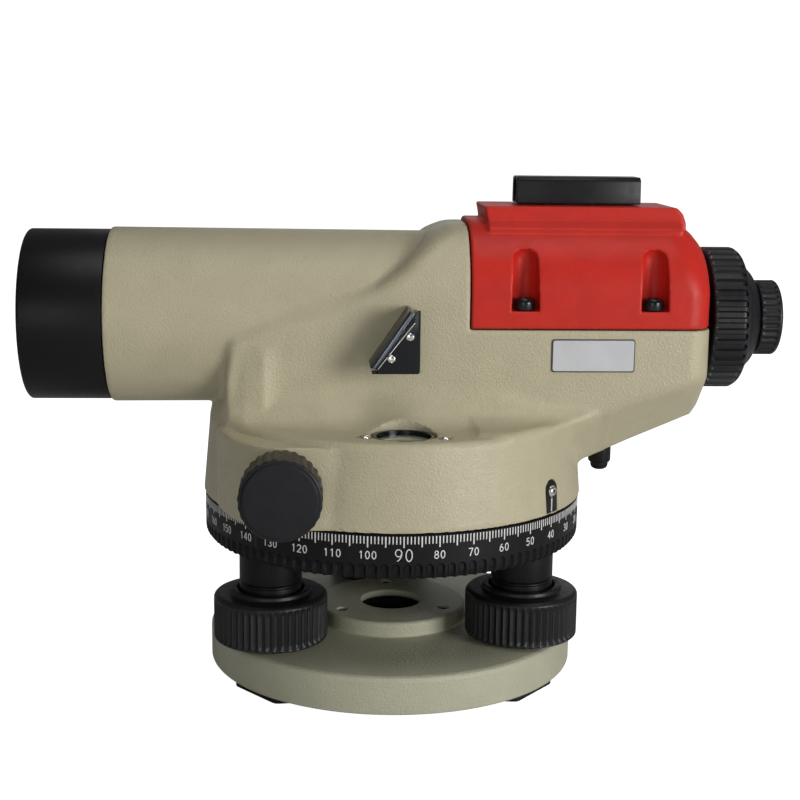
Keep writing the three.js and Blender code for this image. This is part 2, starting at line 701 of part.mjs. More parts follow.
function makeBody(parent) {
  piece("housing", housingShape(), "paint", parent);
  piece("top_cover", coverShape(), "red", parent);

  coverScrewPlaces().forEach(([x, y], i) => {
    const { shelf } = coverScrews;
    const profile = [
      [0, 93],
      [1.5, 93],
      [1.5, shelf + GAP],
      [3, shelf + GAP],
      [3, shelf + 2.6],
      [2.2, shelf + 3.4],
      [0, shelf + 3.4],
    ];
    const screw = turned(profile, 14);
    const hexSocket = rodZ(1.1, shelf + 1.4, shelf + 5, 6);
    piece(`cover_screw_${i + 1}`, cut(screw, hexSocket), "anodised", groupAt(parent, x, y, 0));
  });

  const { start, end, halfWidth, top, windowRadius, windowDepth } = sight;
  const sightBottom = ridge.top + GAP;
  const sightBody = acrossY(
    [[start, sightBottom], [end, sightBottom], [end - 0.6, top], [start + 0.6, top]], -halfWidth, halfWidth,
  );
  const sightBore = rodX(windowRadius + GAP, start - 1, end + 1, 24).translate(0, 0, (top + sightBottom) / 2);
  piece("sight_housing", cut(sightBody, sightBore), "black", parent);
  const recess = 1.6;
  const windows = { sight_window_front: start + recess, sight_window_rear: end - recess - windowDepth };
  for (const [name, x] of Object.entries(windows)) {
    const pane = rodX(windowRadius, 0, windowDepth, 20);
    piece(name, pane, "glass", groupAt(parent, x, 0, (top + sightBottom) / 2));
  }

  const nameplateFront = -casing.halfWidth - GAP;
  const { x0, x1, z0, z1, thickness } = plateDims;
  const plate = block(x0, x1, nameplateFront - thickness, nameplateFront, z0, z1);
  piece("name_plate", plate, "silver", parent);

  const atIndex = (geometry) => geometry.translate(0, 0, index.screwZ).rotateZ(rad(index.azimuth));
  const screwHole = atIndex(rodX(index.screwRadius + GAP, 50, 60, 16));
  piece("circle_index", cut(indexInsert(0, 52.3, 54.5), screwHole), "black", parent);
  piece("index_screw", atIndex(rodX(index.screwRadius, 52.9, 55, 16)), "steel", parent);

  const axisBush = pipe(axisDims.bore, axisDims.bushRadius, 69.8, axisDims.top + 0.2, 24);
  piece("axis_bush", axisBush, "brass", parent);
}

// ---------------------------------------------------------------- circular level and its viewing prism
function makeCircularLevel(parent) {
  const { cupRadius, glassRadius, floor, top } = vial;
  const group = groupAt(parent, vial.x, vial.y, 0);
  const cup = turned(
    [
      [0, floor + GAP],
      [cupRadius, floor + GAP],
      [cupRadius, top],
      [glassRadius + GAP, top],
      [glassRadius + GAP, floor + 1.3],
      [0, floor + 1.3],
    ],
    24,
  );
  piece("level_cup", cup, "silver", group);
  const glass = turned(
    [
      [0, floor + 1.6],
      [glassRadius, floor + 1.6],
      [glassRadius, top - 0.6],
      [glassRadius - 0.8, top + 0.1],
      [0, top + 0.5],
    ],
    24,
  );
  piece("level_vial", glass, "glass", group);
  levelScrewPlaces().forEach(([x, y], i) => {
    const screw = rodZ(1.6, 71.5, drum.ledge + 0.4, 12);
    const slot = block(-2, 2, -0.25, 0.25, drum.ledge - 0.4, drum.ledge + 1);
    piece(`level_screw_${i + 1}`, cut(screw, slot), "steel", groupAt(parent, x, y, 0));
  });
}

// The bubble is seen in a prism whose right angle is at the lower rear. Its long side carries a mirror plate.
function makeViewingPrism(parent) {
  const { left, right, bottom, top, back, front, cheek, foot: plateFoot, tip, plate } = prismSeat;
  const [rise, run] = [top - bottom - plateFoot, right - tip - left];
  const slope = Math.atan2(rise, run);
  // where a line parallel to the plate, under it, meets the height z
  const inset = plate + GAP;
  const underPlate = (z) => left + (z - bottom - plateFoot + inset / Math.cos(slope)) / Math.tan(slope);
  const wedge = [
    [underPlate(bottom), bottom],
    [right - 0.8, bottom],
    [right, bottom + 0.8],
    [right, top],
    [underPlate(top), top],
  ];
  piece("prism_cheek", cut(acrossY(wedge, front, front + cheek), ...prismScrewHoles()), "black", parent);
  const glassWedge = acrossY(wedge, front + cheek + GAP, back - GAP);
  piece("viewing_prism", cut(glassWedge, ...prismScrewHoles()), "glass", parent);
  const plateGroup = groupAt(parent, left, 0, bottom + plateFoot);
  plateGroup.rotation.y = -slope;
  const plateBlock = block(0, Math.hypot(rise, run), front, back - GAP, -plate, 0);
  piece("prism_plate", plateBlock, "steel", plateGroup);
  prismSeat.screws.forEach(([sx, sz], i) => {
    const shank = rodY(prismSeat.shankRadius, front - 1, front + 6, 12);
    const head = rodY(prismSeat.headRadius, front - 1.3, front - GAP, 14);
    const slot = block(-2, 2, front - 2, front - 0.9, -0.22, 0.22);
    piece(`prism_screw_${i + 1}`, cut(join(shank, head), slot), "steel", groupAt(parent, sx, 0, sz));
  });
}

const prismScrewHoles = () =>
  prismSeat.screws.map(([x, z]) =>
    rodY(prismSeat.shankRadius + GAP, prismSeat.front - 2, prismSeat.front + 6.6, 12).translate(x, 0, z),
  );

// ---------------------------------------------------------------- telescope
function makeTelescope(parent) {
  const scope = groupAt(parent, 0, 0, SIGHT_LINE_Z);
  const end = OBJECTIVE_END_X;
  const barrelProfile = [
    [barrel.bore, barrel.back],
    [barrel.bore, end],
    [barrel.radius - 1.8, end],
    [barrel.radius - 0.5, end + 0.6],
    [barrel.radius, end + 2],
    [barrel.radius, barrel.back],
    [barrel.bore, barrel.back],
  ];
  piece("objective_barrel", turnedX(barrelProfile, 40), "anodised", scope);
  const lensRadius = barrel.bore - GAP;
  const frontLens = [
    [0, -95.6],
    [8, -95.2],
    [15, -94.1],
    [lensRadius, -92.9],
    [lensRadius, -90],
    [10, -89.4],
    [0, -89.2],
  ];
  piece("objective_lens_front", turnedX(frontLens, 28), "glass", scope);
  const rearLens = [[0, -88.8], [10, -89], [lensRadius, -89.6], [lensRadius, -85.5], [0, -85.5]];
  piece("objective_lens_rear", turnedX(rearLens, 28), "glass", scope);
  piece("objective_retaining_ring", pipeX(18.3, lensRadius, -95.6, -93.4, 28), "anodised", scope);

  // the focusing cell slides in the bore, and its rod runs back past the compensator
  const cell = pipeX(15.3, tube.bore - 0.6, -20, -8, 28);
  const rod = rodX(1, -9, 73, 8).translate(0, -17.2, -4);
  piece("focusing_cell", join(cell, rod), "anodised", scope);
  const focusingLens = [[0, -15.2], [15, -17], [15, -11.4], [0, -12.6]];
  piece("focusing_lens", turnedX(focusingLens, 24), "glass", scope);

  const { radius, start, ribEnd, end: nose } = focusRing;
  const ringProfile = [
    [9.7, start],
    [radius, start],
    [radius, ribEnd],
    [19.3, 99.4],
    [15.5, 101.1],
    [13.2, 103.3],
    [11.3, nose],
    [9.7, nose],
    [9.7, start],
  ];
  piece("focusing_ring", turnedX(ringProfile, 40), "rubber", scope);

  const eyepieceTube = [[7.7, 81], [12, 81], [12, 84.9], [9.3, 84.9], [9.3, nose], [7.7, nose], [7.7, 81]];
  piece("eyepiece_tube", turnedX(eyepieceTube, 24), "anodised", scope);
  piece("reticle", rodX(7.4, 83, 86, 20), "glass", scope);

  const eyeRing = [
    [7.7, 104.9],
    [10.4, 104.9],
    [10.9, 105.6],
    [10.9, 110],
    [10, EYEPIECE_END_X],
    [5.2, EYEPIECE_END_X],
    [5.2, 109.9],
    [7.7, 109.9],
    [7.7, 104.9],
  ];
  piece("eyepiece_ring", turnedX(eyeRing, 28), "rubber", scope);
  piece("eyepiece_cell", pipeX(6.2, 7.4, 92, 108.2, 20), "anodised", scope);
  const eyeLens = [[0, 102.8], [5.9, 104.2], [5.9, 106.4], [0, 107.8]];
  piece("eyepiece_lens", turnedX(eyeLens, 20), "glass", scope);
}

// ---------------------------------------------------------------- compensator and its check button
function makeCompensator(parent) {
  const { x, z, pinRadius } = pivot;
  const floor = casing.floor + GAP;
  const footPlate = block(x - 13, x + 13, -14, 14, floor, floor + 2.4);
  const cheeks = SIDES.map((side) => {
    const [y0, y1] = side > 0 ? [12.4, 14] : [-14, -12.4];
    return acrossY([[x - 8, floor], [x + 8, floor], [x + 3, z + 3], [x - 3, z + 3]], y0, y1);
  });
  const pinHole = rodY(pinRadius + GAP, -20, 20, 14).translate(x, 0, z);
  piece("compensator_frame", cut(join(footPlate, ...cheeks), pinHole), "anodised", parent);

  const arm = join(
    rodY(2.6, -11.6, 11.6, 16).translate(x, 0, z),
    rodY(pinRadius, -14, 14, 12).translate(x, 0, z),
    block(x - 1.2, x + 1.2, -11, -8.6, 88, z),
    block(x - 1.2, x + 1.2, 8.6, 11, 88, z),
    block(x - 7, x + 7, -11, 11, 88, 90.4),
  );
  piece("pendulum_arm", arm, "brass", parent);
  const prism = acrossY([[x - 7, 90.7], [x + 7, 90.7], [x + 7, 98], [x, 105], [x - 7, 98]], -8, 8);
  piece("pendulum_prism", prism, "glass", parent);
  const magnet = block(x - 6, x + 6, -6, 6, floor + 2.7, 87.4);
  const magnetGap = block(x - 4.6, x + 4.6, -7, 7, floor + 4, 90);
  piece("damping_magnet", cut(magnet, magnetGap), "steel", parent);

  // the check button is pressed up into the body, and nudges the pendulum
  const buttonGroup = groupAt(parent, button.x, 0, 0);
  const bush = pipe(button.radius + 0.25, button.bushRadius, button.bushBottom, button.bushTop, 20);
  piece("button_bush", bush, "black", buttonGroup);
  const stem = [
    [0, button.bottom],
    [button.radius - 0.8, button.bottom],
    [button.radius, button.bottom + 0.8],
    [button.radius, button.top],
    [0, button.top],
  ];
  piece("check_button", turned(stem, 20), "black", buttonGroup);
}

makeBase(instrument);
makeFootScrews(instrument);
makeTribrach(instrument);
makeHorizontalCircle(instrument);
makeDrive(instrument);
makeBody(instrument);
makeCircularLevel(instrument);
makeViewingPrism(instrument);
makeTelescope(instrument);
makeCompensator(instrument);

export default level;
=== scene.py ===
"""An automatic level: the detailed pieces, materials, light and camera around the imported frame.

Shapes are drawn in millimetres about the level's vertical axis: x and y are 0 on it, and z is 0 at the
underside. The telescope runs along X with its objective at -X. add() moves each piece to the frame's own
place, in metres.
"""
import math

import bpy
import numpy as np
from mathutils import Matrix, Vector


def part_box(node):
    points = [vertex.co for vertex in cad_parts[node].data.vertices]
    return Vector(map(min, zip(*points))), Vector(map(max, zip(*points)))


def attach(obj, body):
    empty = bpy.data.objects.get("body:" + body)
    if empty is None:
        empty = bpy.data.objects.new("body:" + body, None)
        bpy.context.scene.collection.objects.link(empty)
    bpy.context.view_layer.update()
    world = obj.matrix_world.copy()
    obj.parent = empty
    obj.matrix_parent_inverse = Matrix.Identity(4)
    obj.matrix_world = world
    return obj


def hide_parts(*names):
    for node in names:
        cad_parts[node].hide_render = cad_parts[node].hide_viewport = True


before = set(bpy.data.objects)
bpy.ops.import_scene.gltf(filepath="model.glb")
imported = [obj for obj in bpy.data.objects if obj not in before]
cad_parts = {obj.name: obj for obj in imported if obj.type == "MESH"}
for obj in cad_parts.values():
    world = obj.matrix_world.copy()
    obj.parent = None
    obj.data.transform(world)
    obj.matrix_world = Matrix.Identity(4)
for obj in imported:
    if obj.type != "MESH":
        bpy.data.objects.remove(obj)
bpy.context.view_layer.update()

MM = 0.001
_low, _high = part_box("vertical_spindle")
AXIS_X = (_low.x + _high.x) / 2 / MM


class Span:
    """A CAD node's box in millimetres about the vertical axis."""

    def __init__(self, node):
        low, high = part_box(node)
        self.x0, self.y0, self.z0 = low.x / MM - AXIS_X, low.y / MM, low.z / MM
        self.x1, self.y1, self.z1 = high.x / MM - AXIS_X, high.y / MM, high.z / MM
        self.x, self.y, self.z = (self.x0 + self.x1) / 2, (self.y0 + self.y1) / 2, (self.z0 + self.z1) / 2


BARREL = Span("objective_barrel")
HOUSING = Span("housing")
COVER = Span("top_cover")
CIRCLE = Span("horizontal_circle")
BASE = Span("base_plate")
FOCUS = Span("focusing_ring")
EYE = Span("eyepiece_ring")
SIGHT = Span("sight_housing")
VIAL = Span("level_cup")
PRISM = Span("prism_cheek")
SIGHT_Z = BARREL.z
CIRCLE_RADIUS = CIRCLE.x1
FRONT_FEET = ("left", "right")
FEET = (*FRONT_FEET, "rear")


def noise(tree, scale, detail=3.0, stretch=(1, 1, 1)):
    """A noise texture in the object's own space; scale is in repeats a metre."""
    place = tree.nodes.new("ShaderNodeTexCoord")
    mapping = tree.nodes.new("ShaderNodeMapping")
    mapping.inputs["Scale"].default_value = stretch
    texture = tree.nodes.new("ShaderNodeTexNoise")
    texture.inputs["Scale"].default_value = scale
    texture.inputs["Detail"].default_value = detail
    tree.links.new(place.outputs["Object"], mapping.inputs["Vector"])
    tree.links.new(mapping.outputs["Vector"], texture.inputs["Vector"])
    return texture.outputs["Fac"]


def ramp(tree, factor, low, high, start=0.35, end=0.65):
    """Colours from low to high as the factor goes from start to end."""
    node = tree.nodes.new("ShaderNodeValToRGB")
    node.color_ramp.elements[0].position = start
    node.color_ramp.elements[1].position = end
    node.color_ramp.elements[0].color = (*low, 1)
    node.color_ramp.elements[1].color = (*high, 1)
    tree.links.new(factor, node.inputs["Fac"])
    return node.outputs["Color"]


def blend(tree, factor, first, second):
    """first where the factor is 0, second where it is 1."""
    node = tree.nodes.new("ShaderNodeMix")
    node.data_type = "RGBA"
    tree.links.new(factor, node.inputs["Factor"])
    tree.links.new(first, node.inputs["A"])
    if isinstance(second, tuple):
        node.inputs["B"].default_value = (*second, 1)
    else:
        tree.links.new(second, node.inputs["B"])
    return node.outputs["Result"]


def remap(tree, value, low, high, start=0.3, end=0.7):
    """A value between start and end brought between low and high."""
    node = tree.nodes.new("ShaderNodeMapRange")
    for name, number in (("From Min", start), ("From Max", end), ("To Min", low), ("To Max", high)):
        node.inputs[name].default_value = number
    tree.links.new(value, node.inputs["Value"])
    return node.outputs["Result"]


def edges(tree):
    """How far a point lies on an outer edge: 1 on the sharpest ones. It masks the painted edge highlight."""
    geometry = tree.nodes.new("ShaderNodeNewGeometry")
    return remap(tree, geometry.outputs["Pointiness"], 0, 1, 0.52, 0.62)


def bump(tree, layers):
    """Bumps stacked on each other, each layer a (height, depth in metres) pair."""
    normal = None
    for height, depth in layers:
        node = tree.nodes.new("ShaderNodeBump")
        node.inputs["Distance"].default_value = depth
        tree.links.new(height, node.inputs["Height"])
        if normal is not None:
            tree.links.new(normal, node.inputs["Normal"])
        normal = node.outputs["Normal"]
    return normal


def finish(
    name, color, roughness, metallic=0.0, mottle=0.08, grain=(), edge_highlight=None, spread=0.06, specular=0.5,
    streak=(1, 1, 1),
):
    """A material with mottled colour, uneven roughness and a grain of (repeats a metre, depth) layers.

    The edge colour is a painted highlight: a lighter colour laid on outer edges in place of light caught on
    them. streak stretches everything along an axis, for turned metal.
    """
    mat = bpy.data.materials.new(name)
    mat.use_nodes = True
    tree = mat.node_tree
    shader = tree.nodes["Principled BSDF"]
    shader.inputs["Metallic"].default_value = metallic
    shader.inputs["Specular IOR Level"].default_value = specular
    dark = tuple(channel * (1 - mottle) for channel in color)
    light = tuple(min(channel * (1 + mottle), 1) for channel in color)
    base = ramp(tree, noise(tree, 140, 4, streak), dark, light)
    # painted highlight: outer edges take a lighter colour in place of light caught on them
    if edge_highlight is not None:
        base = blend(tree, edges(tree), base, edge_highlight)
    tree.links.new(base, shader.inputs["Base Color"])
    rough = remap(tree, noise(tree, 420, 3, streak), roughness - spread, roughness + spread)
    tree.links.new(rough, shader.inputs["Roughness"])
    if grain:
        layers = [(noise(tree, scale, 2, streak), depth) for scale, depth in grain]
        tree.links.new(bump(tree, layers), shader.inputs["Normal"])
    return mat


def glass(name, tint, roughness=0.02, ior=1.5):
    """Clear coated glass with a trace of dust in its gloss."""
    mat = bpy.data.materials.new(name)
    mat.use_nodes = True
    tree = mat.node_tree
    shader = tree.nodes["Principled BSDF"]
    shader.inputs["Transmission Weight"].default_value = 1.0
    shader.inputs["IOR"].default_value = ior
    shader.inputs["Coat Weight"].default_value = 0.4
    faded = tuple(channel * 0.94 for channel in tint)
    tree.links.new(ramp(tree, noise(tree, 300), faded, tint), shader.inputs["Base Color"])
    rough = remap(tree, noise(tree, 900), roughness, roughness + 0.03)
    tree.links.new(rough, shader.inputs["Roughness"])
    return mat


TURNED_X = (18, 1, 1)
TURNED_Z = (1, 1, 18)
FAINT, FINE = 0.00001, 0.00003  # depths of a grain in metres
PEBBLED = ((1700, 0.0002), (3900, 0.00007))
HIGHLIGHT_BLACK = (0.02, 0.02, 0.022)  # a lighter black painted on outer edges as a painted highlight
beige_paint = finish("beige_paint", (0.49, 0.445, 0.298), 0.37, mottle=0.025, grain=PEBBLED)
base_paint = finish(
    "base_paint", (0.45, 0.445, 0.325), 0.40, mottle=0.025, grain=PEBBLED, specular=0.45,
)
# the lighter red given for its edges is a painted highlight
red_paint = finish(
    "red_paint", (0.57, 0.024, 0.015), 0.42, mottle=0.05, grain=((2600, FINE),), edge_highlight=(0.64, 0.05, 0.03),
    specular=0.25,
)
black_anodised = finish(
    "black_anodised", (0.004, 0.004, 0.0045), 0.38, 0.1, grain=((700, FAINT),), edge_highlight=HIGHLIGHT_BLACK, streak=TURNED_X,
    specular=0.25,
)
black_turned = finish(
    "black_turned", (0.004, 0.004, 0.0045), 0.40, 0.1, grain=((700, FAINT),), edge_highlight=HIGHLIGHT_BLACK, streak=TURNED_Z,
    specular=0.25,
)
bore_black = finish(
    "bore_black", (0.006, 0.006, 0.006), 0.7, grain=((1500, FINE),), specular=0.2,
)
# the lighter black given for the notches' edges is a painted highlight
circle_black = finish(
    "circle_black", (0.006, 0.006, 0.007), 0.46, grain=((1900, 0.00002),), edge_highlight=(0.02, 0.021, 0.023),
    specular=0.2,
)
scale_white = finish(
    "scale_white", (0.78, 0.78, 0.76), 0.5, mottle=0.06, grain=((2000, FAINT),),
)
black_plastic = finish(
    "black_plastic", (0.005, 0.005, 0.006), 0.38, grain=((1600, 0.00002),), edge_highlight=HIGHLIGHT_BLACK, specular=0.25,
)
gloss_black = finish(
    "gloss_black", (0.006, 0.007, 0.009), 0.2, grain=((900, FAINT),), spread=0.04, specular=0.4,
)
plate_border = finish("plate_border", (0.05, 0.05, 0.055), 0.5, grain=((1500, FAINT),))
# the lighter grey given for the ribs' edges is a painted highlight
ribbed_plastic = finish(
    "ribbed_plastic", (0.007, 0.0075, 0.009), 0.42, grain=((2200, FINE),), edge_highlight=(0.040, 0.041, 0.044),
    specular=0.4,
)
knob_face = finish(
    "knob_face", (0.012, 0.0125, 0.015), 0.6, mottle=0.12, grain=((2400, FINE),), specular=0.25,
)
steel = finish("steel", (0.58, 0.58, 0.60), 0.26, 1.0, mottle=0.1, grain=((800, FAINT),), streak=TURNED_Z)
chrome = finish("chrome", (0.80, 0.79, 0.77), 0.13, 1.0, grain=((1500, 0.000005),), spread=0.05)
plate_steel = finish(
    "plate_steel", (0.20, 0.22, 0.27), 0.30, 1.0, mottle=0.12, grain=((900, FAINT),),
)
brass = finish("brass", (0.62, 0.44, 0.19), 0.28, 1.0, grain=((900, FAINT),), streak=TURNED_Z)
# the name plate's own silver finish; on the level's bubble its pale tone is a painted reflection
silver = finish("silver", (0.58, 0.585, 0.595), 0.6, mottle=0.04, grain=((900, FAINT),), specular=0.2)
optical_glass = glass("optical_glass", (0.80, 0.92, 0.88))
vial_glass = glass("vial_glass", (0.90, 0.98, 0.92))
vial_fluid = finish(
    "vial_fluid", (0.46, 0.56, 0.51), 0.25, mottle=0.06, grain=((500, FAINT),),
)

# ---------------------------------------------------------------- mesh helpers
# A shape is a pair: an array of corners in millimetres and a list of faces.


def volume(corners, faces):
    """Six times the signed volume of a closed shape."""
    total = 0.0
    for face in faces:
        a, b = corners[face[0]], corners[face[1]]
        for k in range(2, len(face)):
            c = corners[face[k]]
            total += float(np.dot(a, np.cross(b, c)))
            b = c
    return total


def outward(shape):
    """The shape with its faces turned out."""
    corners, faces = shape
    if volume(corners, faces) < 0:
        faces = [tuple(reversed(face)) for face in faces]
    return corners, faces


def moved(shape, x=0.0, y=0.0, z=0.0):
    """The shape at another place."""
    corners, faces = shape
    return corners + np.array([x, y, z]), faces


def rotated(shape, axis, degrees):
    """The shape turned about an axis through the origin."""
    corners, faces = shape
    turn = np.array(Matrix.Rotation(math.radians(degrees), 3, axis))
    return corners @ turn.T, faces


def together(*shapes):
    """Several shapes as one."""
    corners, faces, count = [], [], 0
    for points, cells in shapes:
        corners.append(points)
        faces += [tuple(index + count for index in cell) for cell in cells]
        count += len(points)
    return np.concatenate(corners), faces


def soften(points, radius, steps=3, closed=True):
    """An outline with each of its corners rounded off."""
    points = [np.array(point, float) for point in points]
    rounded = []
    for i, corner in enumerate(points):
        if not closed and i in (0, len(points) - 1):
            rounded.append(corner)
            continue
        back, ahead = points[i - 1] - corner, points[(i + 1) % len(points)] - corner
        back_length, ahead_length = np.linalg.norm(back), np.linalg.norm(ahead)
        reach = min(radius, 0.45 * back_length, 0.45 * ahead_length)
        start, end = corner + back * reach / back_length, corner + ahead * reach / ahead_length
        for t in np.linspace(0, 1, steps + 1):
            rounded.append((1 - t) ** 2 * start + 2 * t * (1 - t) * corner + t**2 * end)
    return [tuple(point) for point in rounded]


def divided(points, step, closed=True):
    """An outline with its long stretches cut to steps no longer than that."""
    out = []
    ends = points[1:] + points[:1] if closed else points[1:]
    for start, end in zip(points, ends):
        count = max(1, math.ceil(math.dist(start, end) / step))
        out += [tuple(np.array(start) + (np.array(end) - np.array(start)) * i / count) for i in range(count)]
    return out if closed else out + [points[-1]]


def turned(profile, segments=96, relief=None, axis="Z"):
    """Points of (radius, height) turned about an axis. A profile that leaves the axis closes on itself.

    relief(radius, height, angle) gives each point's own radius, for ribs and flutes.
    """
    points = np.array(profile, float)
    angles = np.linspace(0, 2 * math.pi, segments, endpoint=False)
    capped = points[0, 0] < 1e-6
    rows = points[1:-1] if capped else points
    radius = np.repeat(rows[:, :1], segments, 1)
    height = np.repeat(rows[:, 1:], segments, 1)
    angle = np.repeat(angles[None, :], len(rows), 0)
    if relief is not None:
        radius = relief(radius, height, angle)
    corners = np.stack([radius * np.cos(angle), radius * np.sin(angle), height], -1).reshape(-1, 3)
    faces = []
    last = len(rows) - 1 if capped else len(rows)
    for r in range(last):
        near, far = r * segments, (r + 1) % len(rows) * segments
        for s in range(segments):
            t = (s + 1) % segments
            faces.append((near + s, near + t, far + t, far + s))
    if capped:
        first, end = len(corners), len(corners) + 1
        corners = np.concatenate([corners, [[0, 0, points[0, 1]], [0, 0, points[-1, 1]]]])
        top = (len(rows) - 1) * segments
        for s in range(segments):
            t = (s + 1) % segments
            faces.append((first, t, s))
            faces.append((end, top + s, top + t))
    order = {"X": [2, 0, 1], "Y": [1, 2, 0], "Z": [0, 1, 2]}[axis]
    return outward((corners[:, order], faces))


def ring(profile, segments, radius, steps=3, axis="Z"):
    """A closed profile turned, with its corners rounded."""
    return turned(soften(profile, radius, steps), segments, axis=axis)


def solid(profile, segments, radius, axis="Z"):
    """A profile from the axis back to the axis, turned, with its corners rounded."""
    return turned(soften(profile, radius, closed=False), segments, axis=axis)


def rod(radius, low, high, segments, axis="Z"):
    """A plain cylinder, for cutting holes."""
    return turned([(0, low), (radius, low), (radius, high), (0, high)], segments, axis=axis)


def wall(inner, outer, low, high):
    """The square profile of a plain ring."""
    return [(inner, low), (outer, low), (outer, high), (inner, high)]


def prism(outline, low, high, edge=0.2, axis="Z"):
    """A convex outline raised from low to high, with its rims rounded off by edge."""
    points = np.array(outline, float)
    area = np.sum(points[:, 0] * np.roll(points[:, 1], -1) - np.roll(points[:, 0], -1) * points[:, 1])
    if area < 0:
        points = points[::-1]
    ahead = np.roll(points, -1, 0) - points
    behind = points - np.roll(points, 1, 0)
    ahead /= np.linalg.norm(ahead, axis=1)[:, None]
    behind /= np.linalg.norm(behind, axis=1)[:, None]
    inward = np.stack([-(ahead + behind)[:, 1], (ahead + behind)[:, 0]], -1)
    inward /= np.maximum(np.linalg.norm(inward, axis=1)[:, None], 1e-9)
    levels = [(low, edge), (low + 0.3 * edge, 0.3 * edge), (low + edge, 0)]
    levels += [(high - edge, 0), (high - 0.3 * edge, 0.3 * edge), (high, edge)]
    count = len(points)
    corners = np.concatenate(
        [np.column_stack([points + inward * inset, np.full(count, level)]) for level, inset in levels],
    )
    faces = [tuple(range(count))[::-1], tuple(range(5 * count, 6 * count))]
    for r in range(5):
        for s in range(count):
            t = (s + 1) % count
            faces.append((r * count + s, r * count + t, (r + 1) * count + t, (r + 1) * count + s))
    order = {"X": [2, 0, 1], "Y": [0, 2, 1], "Z": [0, 1, 2]}[axis]
    return outward((corners[:, order], faces))


def block(x0, x1, y0, y1, z0, z1, edge=0.15, corner=0.3):
    """A box with rounded edges."""
    return prism(soften([(x0, y0), (x1, y0), (x1, y1), (x0, y1)], corner), z0, z1, edge)


SHARP = 35  # an edge that turns by more degrees than this stays crisp


def mesh_of(name, shape):
    """A shape as a mesh, in metres at the frame's own place."""
    corners, faces = shape
    mesh = bpy.data.meshes.new(name)
    mesh.from_pydata((corners + np.array([AXIS_X, 0, 0])) * MM, [], faces)
    return mesh


def shade(mesh, sharp=SHARP):
    """Smooth shading with crisp edges."""
    mesh.shade_smooth()
    mesh.set_sharp_from_angle(angle=math.radians(sharp))


def link(name, data):
    """A new object in the scene."""
    thing = bpy.data.objects.new(name, data)
    bpy.context.scene.collection.objects.link(thing)
    return thing


def add(name, shape, material, body, stands_for=(), sharp=SHARP):
    """A new piece that rides on a body, in place of the CAD nodes that it stands for."""
    mesh = mesh_of(name, shape)
    mesh.materials.append(material)
    shade(mesh, sharp)
    piece = link(name, mesh)
    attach(piece, body)
    if stands_for:
        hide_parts(*stands_for)
    return piece


def carve(piece, shapes):
    """Cuts closed shapes out of a piece."""
    for shape in shapes:
        mesh = mesh_of("cutter", shape)
        cutter = link("cutter", mesh)
        modifier = piece.modifiers.new("cut", "BOOLEAN")
        modifier.operation = "DIFFERENCE"
        modifier.solver = "MANIFOLD"
        modifier.object = cutter
        result = bpy.data.meshes.new_from_object(piece.evaluated_get(bpy.context.evaluated_depsgraph_get()))
        piece.modifiers.clear()
        old = piece.data
        piece.data = result
        bpy.data.meshes.remove(old)
        bpy.data.objects.remove(cutter)
        bpy.data.meshes.remove(mesh)
    piece.data.name = piece.name
    shade(piece.data)


# ---------------------------------------------------------------- blended castings
# A casting is a field over space, negative inside, whose parts meet in true fillets.


def outline_distance(a, b, corners):
    """Signed distance from points (a, b) to a closed outline."""
    squared = np.full(a.shape, np.inf)
    inside = np.zeros(a.shape, bool)
    for (a0, b0), (a1, b1) in zip(corners, corners[1:] + corners[:1]):
        run, rise = a1 - a0, b1 - b0
        along = np.clip(((a - a0) * run + (b - b0) * rise) / (run * run + rise * rise), 0, 1)
        squared = np.minimum(squared, (a - a0 - run * along) ** 2 + (b - b0 - rise * along) ** 2)
        if rise != 0:
            inside ^= ((b0 > b) != (b1 > b)) & (a < run * (b - b0) / rise + a0)
    return np.where(inside, -1, 1) * np.sqrt(squared)


def meet(a, b, radius):
    """Where two fields overlap, with the edge between them rounded."""
    a, b = a + radius, b + radius
    return np.minimum(np.maximum(a, b), 0) + np.hypot(np.maximum(a, 0), np.maximum(b, 0)) - radius


def merge(a, b, radius):
    """Two fields joined by a fillet."""
    fillet = np.hypot(np.maximum(radius - a, 0), np.maximum(radius - b, 0))
    return np.maximum(radius, np.minimum(a, b)) - fillet


